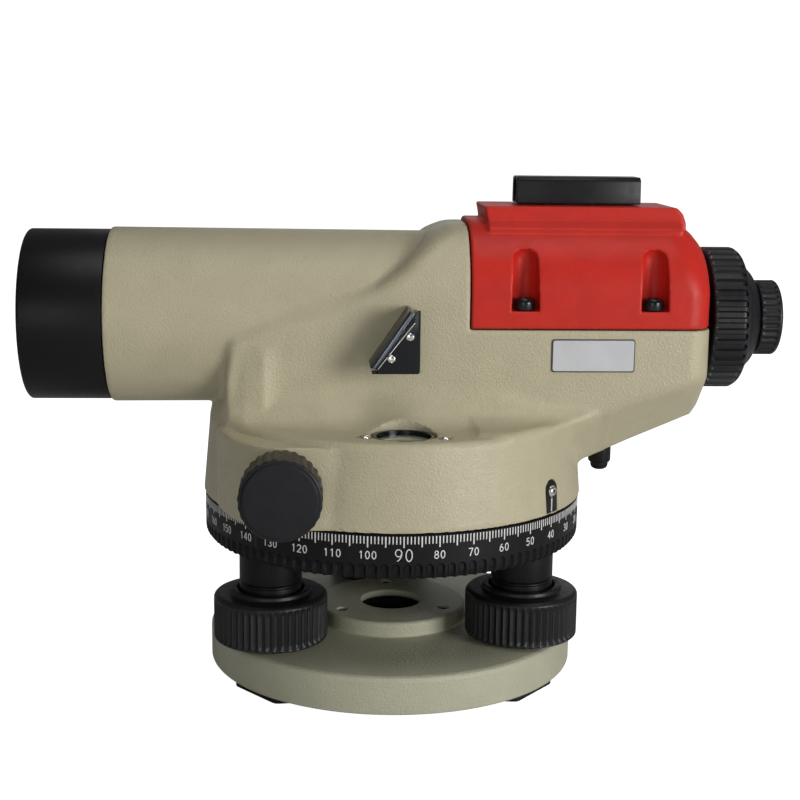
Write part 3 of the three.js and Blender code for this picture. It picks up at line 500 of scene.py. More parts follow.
def skin(field, low, high, step):
    """The surface where a field is zero, as quads about step wide whose corners lie on it."""
    low, high = np.array(low, float), np.array(high, float)
    counts = np.ceil((high - low) / step).astype(int) + 1
    # the field is first taken at the middle of each chunk, and at every grid point only near the surface
    chunk = 8
    blocks = -(-counts // chunk)
    centres = np.stack(np.meshgrid(*[np.arange(n) for n in blocks], indexing="ij"), -1)
    centres = low + (centres + 0.5) * chunk * step
    coarse = field(*np.moveaxis(centres, -1, 0))
    busy = np.abs(coarse) < chunk * step * 1.1
    for axis in range(3):
        busy = np.repeat(busy, chunk, axis)
        coarse = np.repeat(coarse, chunk, axis)
    busy = busy[: counts[0], : counts[1], : counts[2]]
    grid = coarse[: counts[0], : counts[1], : counts[2]].copy()
    cells = np.argwhere(busy)
    grid[busy] = field(*(low + cells * step).T)
    inside = grid < 0

    # a corner in each cell that the surface crosses, at the mean of its crossings
    sides = [inside[i : counts[0] - 1 + i, j : counts[1] - 1 + j, k : counts[2] - 1 + k]
             for i in (0, 1) for j in (0, 1) for k in (0, 1)]
    total = sum(side.astype(int) for side in sides)
    crossed = (total > 0) & (total < 8)
    cells = np.argwhere(crossed)
    number = np.full(crossed.shape, -1)
    number[crossed] = np.arange(len(cells))
    place, hits = np.zeros((len(cells), 3)), np.zeros(len(cells))
    for axis in range(3):
        others = [k for k in range(3) if k != axis]
        for first in (0, 1):
            for second in (0, 1):
                offset = np.zeros(3, int)
                offset[others[0]], offset[others[1]] = first, second
                start = cells + offset
                end = start + np.eye(3, dtype=int)[axis]
                g0, g1 = grid[tuple(start.T)], grid[tuple(end.T)]
                hit = (g0 < 0) != (g1 < 0)
                share = np.where(hit, g0 / np.where(hit, g0 - g1, 1), 0)
                point = offset + share[:, None] * np.eye(3)[axis]
                place[hit] += point[hit]
                hits[hit] += 1
    corners = low + (cells + place / hits[:, None]) * step

    # each corner is then pulled onto the surface
    tiny = 0.01
    for _ in range(3):
        value = field(*corners.T)
        slope = np.stack(
            [field(*(corners + tiny * axis).T) - field(*(corners - tiny * axis).T) for axis in np.eye(3)], -1,
        ) / (2 * tiny)
        steep = np.maximum(np.sum(slope * slope, 1), 0.25)
        pull = -slope * (value / steep)[:, None]
        length = np.maximum(np.linalg.norm(pull, axis=1), 1e-9)
        corners = corners + pull * np.minimum(1, 0.4 * step / length)[:, None]

    quads = []
    for axis in range(3):
        others = [k for k in range(3) if k != axis]
        shape = counts.copy()
        shape[axis] -= 1
        first = inside[tuple(slice(0, n) for n in shape)]
        shifted = [slice(0, n) for n in shape]
        shifted[axis] = slice(1, counts[axis])
        second = inside[tuple(shifted)]
        edge = np.argwhere(first != second)
        edge = edge[np.all(edge[:, others] > 0, 1) & np.all(edge[:, others] < counts[others] - 1, 1)]
        round_cells = []
        for a, b in ((-1, -1), (0, -1), (0, 0), (-1, 0)):
            cell = edge.copy()
            cell[:, others[0]] += a
            cell[:, others[1]] += b
            round_cells.append(number[tuple(cell.T)])
        quad = np.stack(round_cells, -1)
        leaving = first[tuple(edge.T)]
        flip = leaving if axis == 1 else ~leaving
        quad[flip] = quad[flip][:, ::-1]
        quads.append(quad)
    return corners, [tuple(quad) for quad in np.concatenate(quads).tolist()]


# ---------------------------------------------------------------- cast body
LEDGE_Z = 76.0
DRUM_BOTTOM_Z = HOUSING.z0
DRUM_RADIUS = 55.0
DRUM_TOP_RADIUS = 52.9
HALF_WIDTH = COVER.y1
SHOULDER = 20.0
COVER_TOP_Z = 131.2
TUBE_FRONT_X = HOUSING.x0
SPLIT_Z = COVER.z0 - 0.4
SPLIT_X = COVER.x0 - 0.45
REAR_TRIM = 1.2  # the body and its cover end this far inside the focusing ring
REAR_X = HOUSING.x1 - REAR_TRIM
COVER_REAR_X = COVER.x1 - REAR_TRIM
BOSS_TOP_Z = 74.4
BOSS_Y = 51.2
BOSS_LEAN = 0.065  # the knob bosses' flat faces lean in towards the top by this slope
BOSS_MIDDLE_Z = 63.3
RAMP_SLOPE = 2.1
RAMP_LOW_Z, RAMP_HIGH_Z = 60, 92
POCKET_RADIUS = VIAL.x1 - VIAL.x + 0.4
POCKET_FLOOR = VIAL.z0 - 0.3
INDEX_AZIMUTH = -39.5
INDEX_HALF = 2.7
CAST_STEP = 0.8  # the size of the body's quads
COVER_STEP = 0.52
WORM = Span("drive_shaft")

CASING_OUTLINE = soften(
    [
        (-46.6, 60), (-47.2, 88), (-45.4, 98.2), (-36, 102.6), (-18.6, 108.6), (-6.5, 113.6), (0.6, 118.4),
        (6.8, 125), (8.8, 127.4), (14.4, 131.0), (20, COVER_TOP_Z), (95, COVER_TOP_Z), (95, 60),
    ],
    2,
)
BOSS_PLAN = soften(
    [(-8, 15), (-8, BOSS_Y), (-32, BOSS_Y), (-39.5, 47), (-45.5, 38), (-50, 24), (-50, 15)], 5,
)
# the underside, from the drum back to the eyepiece: its outer edge and its keel
UNDER_X = (30, 41.3, 48.5, 56.3, 70.1, 80, 85, 87.8, 88.6)
EDGE_Y = (44, 35, 29.4, 26.6, 26.3, 26.1, 25.2, 23, 21)
EDGE_Z = (76, 76.4, 77.6, 79.6, 83.9, 87, 89, 90.5, 92)
KEEL_Y = (24, 18, 15, 14, 13, 12.5, 12, 11, 10)
KEEL_Z = (60, 61, 62.4, 64.2, 69.9, 73.9, 75.9, 79.5, 83)


def shoulders(side, z):
    """The rounded section that the casing and its cover share."""
    return meet(side - HALF_WIDTH, z - COVER_TOP_Z, SHOULDER)


def rear_end(x, z, rear_x):
    """The back end's flat face, with how far its rim is rounded at each height."""
    return x - rear_x, np.interp(z, [112, 126], [7, 12])


def housing_field(x, y, z):
    side = np.abs(y)
    tube_radius = np.interp(x, [TUBE_FRONT_X, 12], [24.9, 24.5])
    tube = meet(np.hypot(y, z - SIGHT_Z) - tube_radius, np.maximum(TUBE_FRONT_X - x, x - 17), 0.7)

    # the casing, over its sloping underside
    edge_y, edge_z = np.interp(x, UNDER_X, EDGE_Y), np.interp(x, UNDER_X, EDGE_Z)
    keel_y, keel_z = np.interp(x, UNDER_X, KEEL_Y), np.interp(x, UNDER_X, KEEL_Z)
    run, rise = edge_y - keel_y, edge_z - keel_z
    under = ((side - edge_y) * rise - (z - edge_z) * run) / np.hypot(run, rise)
    under = meet(under, keel_z - z, 0.8)
    edge_round = np.interp(z, [98, 104], [1.5, 4])
    section = meet(shoulders(side, z), outline_distance(x, z, CASING_OUTLINE), edge_round)
    casing = meet(meet(section, *rear_end(x, z, REAR_X)), under, 1.2)
    wedge = meet(meet(side - edge_y, z - edge_z, 2.5), under, 1.2)
    wedge = np.maximum(wedge, np.maximum(22 - x, x - 60))

    # the drum with the bosses of its two drive knobs
    around = np.hypot(x, y)
    drum = around - np.interp(z, [DRUM_BOTTOM_Z, LEDGE_Z], [DRUM_RADIUS, DRUM_TOP_RADIUS])
    drum = meet(meet(drum, z - LEDGE_Z, 1.8), DRUM_BOTTOM_Z - z, 0.4)
    face = side + BOSS_LEAN * (z - BOSS_MIDDLE_Z)
    boss = meet(outline_distance(x, face, BOSS_PLAN), z - BOSS_TOP_Z, 0.6)
    drum = merge(drum, meet(boss, DRUM_BOTTOM_Z - z, 0.4), 0.3)
    # in front of the casing the drum's wall runs up to the tube in a steep ramp
    ramp = (z - LEDGE_Z - 0.6 - RAMP_SLOPE * (DRUM_TOP_RADIUS - around)) / math.hypot(1, RAMP_SLOPE)
    ramp = meet(meet(around - DRUM_TOP_RADIUS, ramp, 0.8), np.maximum(side - 24, x + 40), 2)
    drum = merge(drum, np.maximum(ramp, np.maximum(z - RAMP_HIGH_Z, RAMP_LOW_Z - z)), 0.4)

    # all of it in one, less the cover's seat and the level's pocket
    body = merge(casing, tube, np.interp(x, [-25, 10], [3, 0.4]))
    fillet = np.interp(x, [-50, -42, -20, 28, 57], [1.2, 7, 11.5, 11.5, 0.6])
    body = merge(body, merge(drum, wedge, 3), fillet)
    seat = np.minimum(x - SPLIT_X, z - SPLIT_Z)
    body = meet(body, seat, 0.5)
    pocket = np.maximum(np.hypot(x - VIAL.x, y - VIAL.y) - POCKET_RADIUS, POCKET_FLOOR - z)
    return meet(body, -pocket, 0.25)


def index_outline(half):
    """The index insert's face: a tongue with a round top, as (across, up) points."""
    insert = Span("circle_index")
    top = insert.z1 - INDEX_HALF
    angles = [math.radians(degrees) for degrees in range(0, 181, 15)]
    arch = [(half * math.cos(angle), top + half * math.sin(angle)) for angle in angles]
    return [(-half, insert.z0), (half, insert.z0), *arch]


def make_housing():
    reach = 57.5
    low = (TUBE_FRONT_X - 2, -reach, DRUM_BOTTOM_Z - 2)
    high = (REAR_X + 2, reach, COVER_TOP_Z + 2)
    shell = skin(housing_field, low, high, CAST_STEP)
    body = add("housing_shell", shell, beige_paint, "instrument", ["housing"])
    button = Span("button_bush")
    slot = prism(index_outline(INDEX_HALF + 0.25), -60, -52, 0.05, "Y")
    cutters = [
        moved(rod(20.9, TUBE_FRONT_X - 4, 23, 64, "X"), z=SIGHT_Z),
        turned([(0, 50), (51, 50), (51, 53.6), (49.6, 69.4), (0, 69.4)], 96),
        rod(11.3, 60, 79, 48),
        moved(rod(2.8, -60, 60, 32, "Y"), WORM.x, 0, WORM.z),
        moved(rod(12.3, 78, 95, 48, "X"), z=SIGHT_Z),
        moved(rod(3.6, 50, 82, 32), button.x, button.y),
        block(22.6, 79.8, -22.6, 22.6, 87.5, 140),
        block(22.6, 66, -14.6, 14.6, 78.4, 90),
        rotated(slot, "Z", INDEX_AZIMUTH + 90),
    ]
    for i in (1, 2):
        screw = Span(f"level_screw_{i}")
        sink = [(0, 70), (1.9, 70), (1.9, LEDGE_Z - 0.5), (2.6, LEDGE_Z + 0.1), (2.6, 90), (0, 90)]
        cutters.append(moved(turned(sink, 40), screw.x, screw.y))
    carve(body, cutters)

    # the telescope's bore is black
    bore_reach, bore_end_x = 21.5, 22
    body.data.materials.append(bore_black)
    for polygon in body.data.polygons:
        centre = polygon.center
        off_axis = math.hypot(centre.y, centre.z - SIGHT_Z * MM)
        if off_axis < bore_reach * MM and centre.x / MM - AXIS_X < bore_end_x:
            polygon.material_index = 1


# ---------------------------------------------------------------- red cover
SCREW_XS = tuple(Span(f"cover_screw_{i}").x for i in (1, 3))
SLOT_Y = 22.6
SHELF_Z = Span("cover_screw_1").z1 - 3.4
RIDGE_TOP_Z = COVER.z1 - 0.2
CREST_Z = 131.5
SLOT_TOP_Z = 121
RIDGE = soften(
    [(-1, 122), (-1, RIDGE_TOP_Z), (13, RIDGE_TOP_Z), (13.3, CREST_Z), (16.9, 129.0), (16.9, 122)], 0.6,
)
RIDGE_SIDE = soften(
    [
        (26, 122), (25.2, 131), (24.4, RIDGE_TOP_Z), (78.4, RIDGE_TOP_Z), (80.3, 133.2), (81.2, 130.5),
        (81.2, 122),
    ],
    0.6,
)
LIP_SIDE = [(25.2, 122), (25.2, 131.6), (79.6, 131.6), (79.6, 122)]


def slot_field(x, side, z):
    """The two upright channels on each side that the cover screws stand in."""
    channels = []
    for screw_x in SCREW_XS:
        radius = np.interp(z, [SHELF_Z, SLOT_TOP_Z], [3.85, 3.4])
        inward, above = np.minimum(side - SLOT_Y, 0), np.maximum(z - SLOT_TOP_Z, 0)
        off = np.sqrt((x - screw_x) ** 2 + inward**2 + above**2)
        channels.append(np.maximum(off - radius, SHELF_Z - z))
    return np.minimum(*channels)


def cover_field(x, y, z):
    side = np.abs(y)
    body = meet(shoulders(side, z), *rear_end(x, z, COVER_REAR_X))
    ridge = outline_distance(side, z, RIDGE)
    tall = meet(meet(ridge, side - 13.4, 0.3), outline_distance(x, z, RIDGE_SIDE), 0.6)
    lip = meet(ridge, outline_distance(x, z, LIP_SIDE), 0.4)
    body = merge(body, np.minimum(tall, lip), 0.5)
    body = meet(meet(body, COVER.x0 - x, 0.6), COVER.z0 - z, 0.6)
    slots = slot_field(x, side, z)
    body = meet(body, -slots, 0.45)
    ends = np.maximum(x - COVER_REAR_X + 2.6, COVER.x0 + 2.3 - x)
    inner = meet(shoulders(side, z) + 2.3, ends, 10)
    inner = np.maximum(inner, 1.9 - slots)
    eyepiece = np.maximum(np.hypot(y, z - SIGHT_Z) - 13, 83 - x)
    return np.maximum(np.maximum(body, -inner), -eyepiece)


def make_cover():
    low = (COVER.x0 - 2, COVER.y0 - 2, COVER.z0 - 2)
    high = (COVER.x1 + 2, COVER.y1 + 2, COVER.z1 + 2)
    shell = skin(cover_field, low, high, COVER_STEP)
    add("cover_shell", shell, red_paint, "instrument", ["top_cover"], sharp=50)
    for i in range(1, 5):
        screw = Span(f"cover_screw_{i}")
        top, seat = screw.z1, SHELF_Z + 0.2
        profile = [
            (0, screw.z0), (1.5, screw.z0), (1.5, seat), (2.95, seat), (2.95, top - 0.9), (2.4, top),
            (1.5, top), (1.45, top - 1.7), (0, top - 1.7),
        ]
        head = moved(solid(profile, 60, 0.3), screw.x, math.copysign(SLOT_Y, screw.y))
        add(f"cover_cap_screw_{i}", head, gloss_black, "instrument", [f"cover_screw_{i}"])


def make_sight():
    """The little optical sight on the ridge: a moulded case with a deep hood and a window at each end."""
    top, bottom = SIGHT.z1, SIGHT.z0 - 0.3
    half, x0, x1 = SIGHT.y1, SIGHT.x0, SIGHT.x1
    right = [(half, bottom), (half - 0.5, top - 0.9), (half - 1.4, top)]
    section = [(-half, bottom), *right, (-half + 1.4, top), (-half + 0.5, top - 0.9)]
    shape = prism(soften(section, 0.5), x0, x1, 0.35, "X")
    case = add("sight_case", shape, black_plastic, "instrument", ["sight_housing"])
    middle = (top + bottom) / 2
    radius = Span("sight_window_front").y1
    holes = [rod(radius + 0.25, x0 - 1, x1 + 1, 48, "X")]
    holes += [rod(radius + 0.9, x - 0.6, x + 0.6, 48, "X") for x in (x0, x1)]
    carve(case, [moved(hole, z=middle) for hole in holes])
    bulge = 0.35
    for name, near, far in (("front", bulge, 0), ("rear", 0, bulge)):
        pane = Span(f"sight_window_{name}")
        lens = [
            (0, pane.x0 - near), (radius * 0.6, pane.x0 - 0.4 * near), (radius, pane.x0),
            (radius, pane.x1), (radius * 0.6, pane.x1 + 0.4 * far), (0, pane.x1 + far),
        ]
        shape = moved(solid(lens, 48, 0.15, "X"), z=middle)
        add(f"sight_lens_{name}", shape, optical_glass, "instrument", [f"sight_window_{name}"])


def make_name_plate():
    plate = Span("name_plate")
    side_y = -HALF_WIDTH

    def outline(inset, corner):
        x0, x1, z0, z1 = plate.x0 + inset, plate.x1 - inset, plate.z0 + inset, plate.z1 - inset
        return soften([(x0, z0), (x1, z0), (x1, z1), (x0, z1)], corner, 4)

    border = prism(outline(0, 0.9), side_y - 0.3, side_y + 0.6, 0.1, "Y")
    add("name_plate_border", border, plate_border, "instrument")
    face = prism(outline(0.35, 0.7), side_y - 0.5, side_y + 0.3, 0.12, "Y")
    add("name_plate_face", face, silver, "instrument", ["name_plate"], sharp=10)


# ---------------------------------------------------------------- telescope
def add_turned(name, shape, material, body, stands_for):
    """A piece turned about the line of sight."""
    return add(name, moved(shape, z=SIGHT_Z), material, body, stands_for)


def lens_face(rim, x, sag, count=10):
    """A lens face from its middle out, which has gone back by sag at its rim."""
    return [(rim * i / count, x + sag * (i / count) ** 2) for i in range(count + 1)]


def make_objective():
    end, back, radius, bore = BARREL.x0, BARREL.x1, BARREL.y1, 20.6
    grooves = []
    for i in range(7):
        x = end + 1.6 + 0.8 * i
        grooves += [(bore, x), (bore - 0.28, x + 0.4)]
    profile = [
        (bore + 1.1, end), (radius - 0.6, end), (radius, end + 0.6), (radius, back), (bore, back),
        (bore, end + 8), *grooves[::-1], (bore + 0.2, end + 1.2),
    ]
    barrel = ring(profile, 144, 0.3, 2, "X")
    add_turned("objective_tube", barrel, black_anodised, "instrument", ["objective_barrel"])
    for place, near_sag, far_sag in (("front", 2.7, -0.9), ("rear", -0.7, 0)):
        node = Span(f"objective_lens_{place}")
        rim = Span("objective_lens_front").y1
        lens = turned(lens_face(rim, node.x0, near_sag) + lens_face(rim, node.x1, far_sag)[::-1], axis="X")
        name = f"objective_glass_{place}"
        add_turned(name, lens, optical_glass, "instrument", [f"objective_lens_{place}"])
    keeper = Span("objective_retaining_ring")
    shape = ring(wall(18.3, keeper.y1, keeper.x0, keeper.x1), 96, 0.25, axis="X")
    seat = add_turned("objective_keeper", shape, black_anodised, "instrument", ["objective_retaining_ring"])
    low, high = SIGHT_Z - 0.7, SIGHT_Z + 0.7
    carve(seat, [block(keeper.x0 - 1, keeper.x0 + 0.9, y - 2, y + 2, low, high) for y in (-20, 20)])


def capsules(pitch_count, x0, x1, share, depth, edge=0.25):
    """Relief of pill-shaped hollows, evenly spaced around a ring between two heights."""

    def relief(radius, height, angle):
        pitch = 2 * math.pi / pitch_count
        across = (np.mod(angle + pitch / 2, pitch) - pitch / 2) * radius
        half = share * pitch * radius / 2
        along = np.maximum(np.abs(height - (x0 + x1) / 2) - (x1 - x0) / 2 + half, 0)
        off = np.hypot(across, along) - half
        hollow = np.clip(-off / edge, 0, 1)
        return radius - depth * hollow * hollow * (3 - 2 * hollow)

    return relief


def flutes(count, depth, low, high, fade=0.8, sharpness=1.0):
    """Relief of round grooves between two heights, which fade out at their ends."""

    def relief(radius, height, angle):
        wave = (0.5 - 0.5 * np.cos(count * angle)) ** sharpness
        ends = np.clip(np.minimum(height - low, high - height) / fade, 0, 1)
        return radius - depth * wave * ends * ends * (3 - 2 * ends)

    return relief


def outside(limit, relief):
    """A relief on only those points that are farther from the axis than a limit."""
    return lambda radius, height, angle: np.where(radius > limit, relief(radius, height, angle), radius)


def make_focusing_ring():
    radius, start, pads = FOCUS.y1, FOCUS.x0, 40
    outer = [
        (9.7, start), (radius - 0.4, start), (radius, start + 0.5), (radius, 97.8), (19.3, 99.3),
        (15.6, 101.0), (13.3, 103.2), (11.3, FOCUS.x1), (9.7, FOCUS.x1),
    ]
    points = divided(soften(outer, 0.45), 0.3)
    relief = outside(18, capsules(pads, 89.2, 98.8, 0.66, 0.8))
    shape = turned(points, pads * 14, relief, "X")
    add_turned("focusing_knob", shape, ribbed_plastic, "focus_ring", ["focusing_ring"])


def make_eyepiece():
    x0, x1, radius, grooves = EYE.x0, EYE.x1, EYE.y1, 32
    cup_x, inner = 109.9, 7.7
    outer = [
        (inner, x0), (radius - 0.5, x0), (radius, x0 + 0.6), (radius, x1 - 0.6), (radius - 0.6, x1),
        (6.4, x1), (5.2, x1 - 0.6), (5.2, cup_x), (inner, cup_x),
    ]
    relief = outside(9, flutes(grooves, 0.5, x0 + 0.4, x1 - 0.9))
    shape = turned(divided(soften(outer, 0.35), 0.35), grooves * 12, relief, "X")
    add_turned("eyepiece_knob", shape, ribbed_plastic, "eyepiece", ["eyepiece_ring"])

    tube, step_x = Span("eyepiece_tube"), 84.9
    section = [(inner, tube.x0), (12, tube.x0), (12, step_x), (9.4, step_x), (9.4, tube.x1), (inner, tube.x1)]
    sleeve = ring(section, 72, 0.2, axis="X")
    add_turned("eyepiece_sleeve", sleeve, black_anodised, "instrument", ["eyepiece_tube"])
    cell = Span("eyepiece_cell")
    barrel = ring(wall(6.2, 7.4, cell.x0, cell.x1), 72, 0.2, axis="X")
    add_turned("eyepiece_barrel", barrel, black_anodised, "eyepiece_optics", ["eyepiece_cell"])
    lens = Span("eyepiece_lens")
    half, sag = (lens.x1 - lens.x0) / 2, 1.5
    front = lens_face(lens.y1, lens.x - half, sag, 8)
    back = lens_face(lens.y1, lens.x + half, -sag, 8)[::-1]
    add_turned("eyepiece_glass", turned(front + back, 64, axis="X"), optical_glass, "eyepiece_optics",
               ["eyepiece_lens"])


# ---------------------------------------------------------------- drive knobs
def make_drive_knobs():
    scallops = 27
    relief = outside(10, flutes(scallops, 0.45, 52.6, 65.2, fade=1.0, sharpness=1.4))
    for place, flip in (("front", 180), ("rear", 0)):
        knob = Span(f"drive_knob_{place}")
        back, face = sorted((abs(knob.y0), abs(knob.y1)))
        radius, bottom = (knob.x1 - knob.x0) / 2 - 0.3, back + 11
        profile = [
            (2.7, back), (9.4, back), (radius, back + 1.3), (radius, face - 1.2), (radius - 0.4, face - 0.75),
            (2.0, face - 0.75), (2.0, bottom), (2.7, bottom),
        ]
        grip = turned(divided(soften(profile, 0.5), 0.6), scallops * 14, relief, "Y")
        disc = [(0, face - 1.2), (10.1, face - 1.2), (10.1, face - 0.6), (9.5, face), (0, face)]
        cap = solid(disc, 96, 0.4, "Y")
        grip, cap = (moved(rotated(shape, "X", flip), WORM.x, 0, WORM.z) for shape in (grip, cap))
        add(f"drive_grip_{place}", grip, ribbed_plastic, "drive", [f"drive_knob_{place}"])
        add(f"drive_cap_{place}", cap, knob_face, "drive")


# ---------------------------------------------------------------- horizontal circle
ZERO_AZIMUTH = 0.65
NUMBER_Z = 46.7
STROKE = 0.13  # half the width of a numeral's line


def make_circle():
    radius, bottom, top = CIRCLE_RADIUS, CIRCLE.z0, CIRCLE.z1
    notch_count, notch_top, rim = 114, 44.2, 52.5
    profile = [
        (14, 48.6), (50.9, 48.6), (50.9, bottom), (radius - 1.2, bottom), (radius - 0.1, bottom + 1.4),
        (radius, bottom + 2.2), (radius, top - 0.4), (radius - 0.5, top), (51.6, top), (51.6, 50.4),
        (14, 50.4),
    ]
    points = divided(soften(profile, 0.25, 2), 1.2)
    fine = []
    for start, end in zip(points, points[1:] + points[:1]):
        fine.append(start)
        if start[0] > rim and end[0] > rim and start[1] < notch_top + 1.3:
            fine += divided([start, end], 0.3, closed=False)[1:-1]
    pitch = 2 * math.pi / notch_count

    def notches(r, h, a):
        across = (np.mod(a + pitch / 2, pitch) - pitch / 2) * radius
        half = 0.36 * pitch * radius
        rise = np.maximum(h - (notch_top - half), 0)
        hollow = np.clip((half - np.hypot(across, rise)) / 0.3, 0, 1)
        return r - 0.75 * hollow * hollow * (3 - 2 * hollow)

    shape = turned(fine, notch_count * 10, outside(rim, notches))
    add("circle_ring", shape, circle_black, "circle", ["horizontal_circle"])


def make_graduations():
    """A tick at each degree and a number at each tenth, filled with white paint."""
    face = CIRCLE_RADIUS + 0.04
    top = CIRCLE.z1 - 0.55
    ticks = []
    for degree in range(360):
        length = 3.0 if degree % 10 == 0 else 2.9 if degree % 5 == 0 else 2.05
        half = 0.18 if degree % 5 == 0 else 0.15
        tick = block(face - 0.3, face, -half, half, top - length, top, 0.02, 0.04)
        ticks.append(rotated(tick, "Z", ZERO_AZIMUTH - degree))
    add("circle_ticks", together(*ticks), scale_white, "circle")

    bars = []
    for degree in range(0, 360, 10):
        height = 3.2 if degree == 90 else 2.0
        digits = str(degree)
        for place, digit in enumerate(digits):
            middle = (place - (len(digits) - 1) / 2) * 0.86 * height
            for stroke in DIGITS[digit]:
                for start, end in zip(stroke, stroke[1:]):
                    flat, faces = bar(start, end, height)
                    angle = math.radians(ZERO_AZIMUTH - degree) + (flat[:, 0] + middle) / face
                    depth = face - 0.12 + flat[:, 2]
                    around = [depth * np.cos(angle), depth * np.sin(angle), NUMBER_Z + flat[:, 1]]
                    bars.append((np.column_stack(around), faces))
    add("circle_numbers", together(*bars), scale_white, "circle", sharp=60)


def curve(x, y, across, up, start, end, steps=8):
    """Points of an elliptical arc, angles in degrees."""
    turn = [math.radians(start + (end - start) * i / steps) for i in range(steps + 1)]
    return [(x + across * math.cos(a), y + up * math.sin(a)) for a in turn]


# plain numerals as strokes in a box 0.56 wide and 1 high about its middle
DIGITS = {
    "0": [curve(0, 0, 0.26, 0.5, 0, 360, 16)],
    "1": [[(-0.14, 0.32), (0.04, 0.5), (0.04, -0.5)]],
    "2": [curve(0, 0.23, 0.26, 0.27, 165, -40) + [(-0.27, -0.5), (0.28, -0.5)]],
    "3": [curve(-0.02, 0.26, 0.25, 0.24, 150, -90), curve(-0.02, -0.24, 0.28, 0.26, 90, -150)],
    "4": [[(0.14, -0.5), (0.14, 0.5), (-0.28, -0.2), (0.3, -0.2)]],
    "5": [[(0.24, 0.5), (-0.2, 0.5), (-0.24, 0.06)], curve(-0.01, -0.18, 0.27, 0.32, 125, -150)],
    "6": [curve(0, -0.2, 0.26, 0.3, 0, 360, 16), curve(0.3, -0.2, 0.56, 0.72, 180, 112, 6)],
    "7": [[(-0.27, 0.5), (0.27, 0.5), (-0.08, -0.5)]],
    "8": [curve(0, 0.26, 0.22, 0.24, 0, 360, 14), curve(0, -0.24, 0.27, 0.26, 0, 360, 14)],
    "9": [curve(0, 0.2, 0.26, 0.3, 0, 360, 16), curve(-0.3, 0.2, 0.56, 0.72, 0, -68, 6)],
}


def bar(start, end, height):
    """A short flat bar with blunt ends between two points of a numeral."""
    start, end = np.array(start) * height, np.array(end) * height
    ahead = (end - start) / max(np.linalg.norm(end - start), 1e-6)
    left = np.array([-ahead[1], ahead[0]])
    rim = [
        start - ahead * STROKE, start - left * STROKE, end - left * STROKE, end + ahead * STROKE,
        end + left * STROKE, start + left * STROKE,
    ]
    low = [(x, y, -0.1) for x, y in rim]
    high = [(x, y, 0.12) for x, y in rim]
    sides = [(i, (i + 1) % 6, (i + 1) % 6 + 6, i + 6) for i in range(6)]
    return outward((np.array(low + high), [tuple(range(6)), tuple(range(6, 12)), *sides]))


def make_index():
    insert, screw = Span("circle_index"), Span("index_screw")
    front = -54.6

    def faced(shape):
        return rotated(shape, "Z", INDEX_AZIMUTH + 90)

    tongue = prism(soften(index_outline(INDEX_HALF), 0.1, 1), front, -52.2, 0.15, "Y")
    add("index_insert", faced(tongue), black_plastic, "instrument", ["circle_index"])
    line = block(-0.22, 0.22, front - 0.12, front + 0.4, insert.z0 + 0.3, screw.z - 1.9, 0.02, 0.05)
    add("index_line", faced(line), scale_white, "instrument")
    head = solid([(0, 52.9), (1.65, 52.9), (1.65, 54.8), (1.15, 55.3), (0, 55.4)], 40, 0.15, "X")
    socket = rod(0.65, 54.6, 56, 6, "X")
    head, socket = (rotated(moved(shape, z=screw.z), "Z", INDEX_AZIMUTH) for shape in (head, socket))
    carve(add("index_cap_screw", head, chrome, "instrument", ["index_screw"]), [socket])


# ---------------------------------------------------------------- levelling base
SPRING_ARMS = (-140, -40, 90)  # the azimuths of the spring plate's arms
BORE_Z = 15.0  # below this the tripod hole is threaded and black
HOLE_RADIUS = 8.7
THREAD_PITCH = 1.4


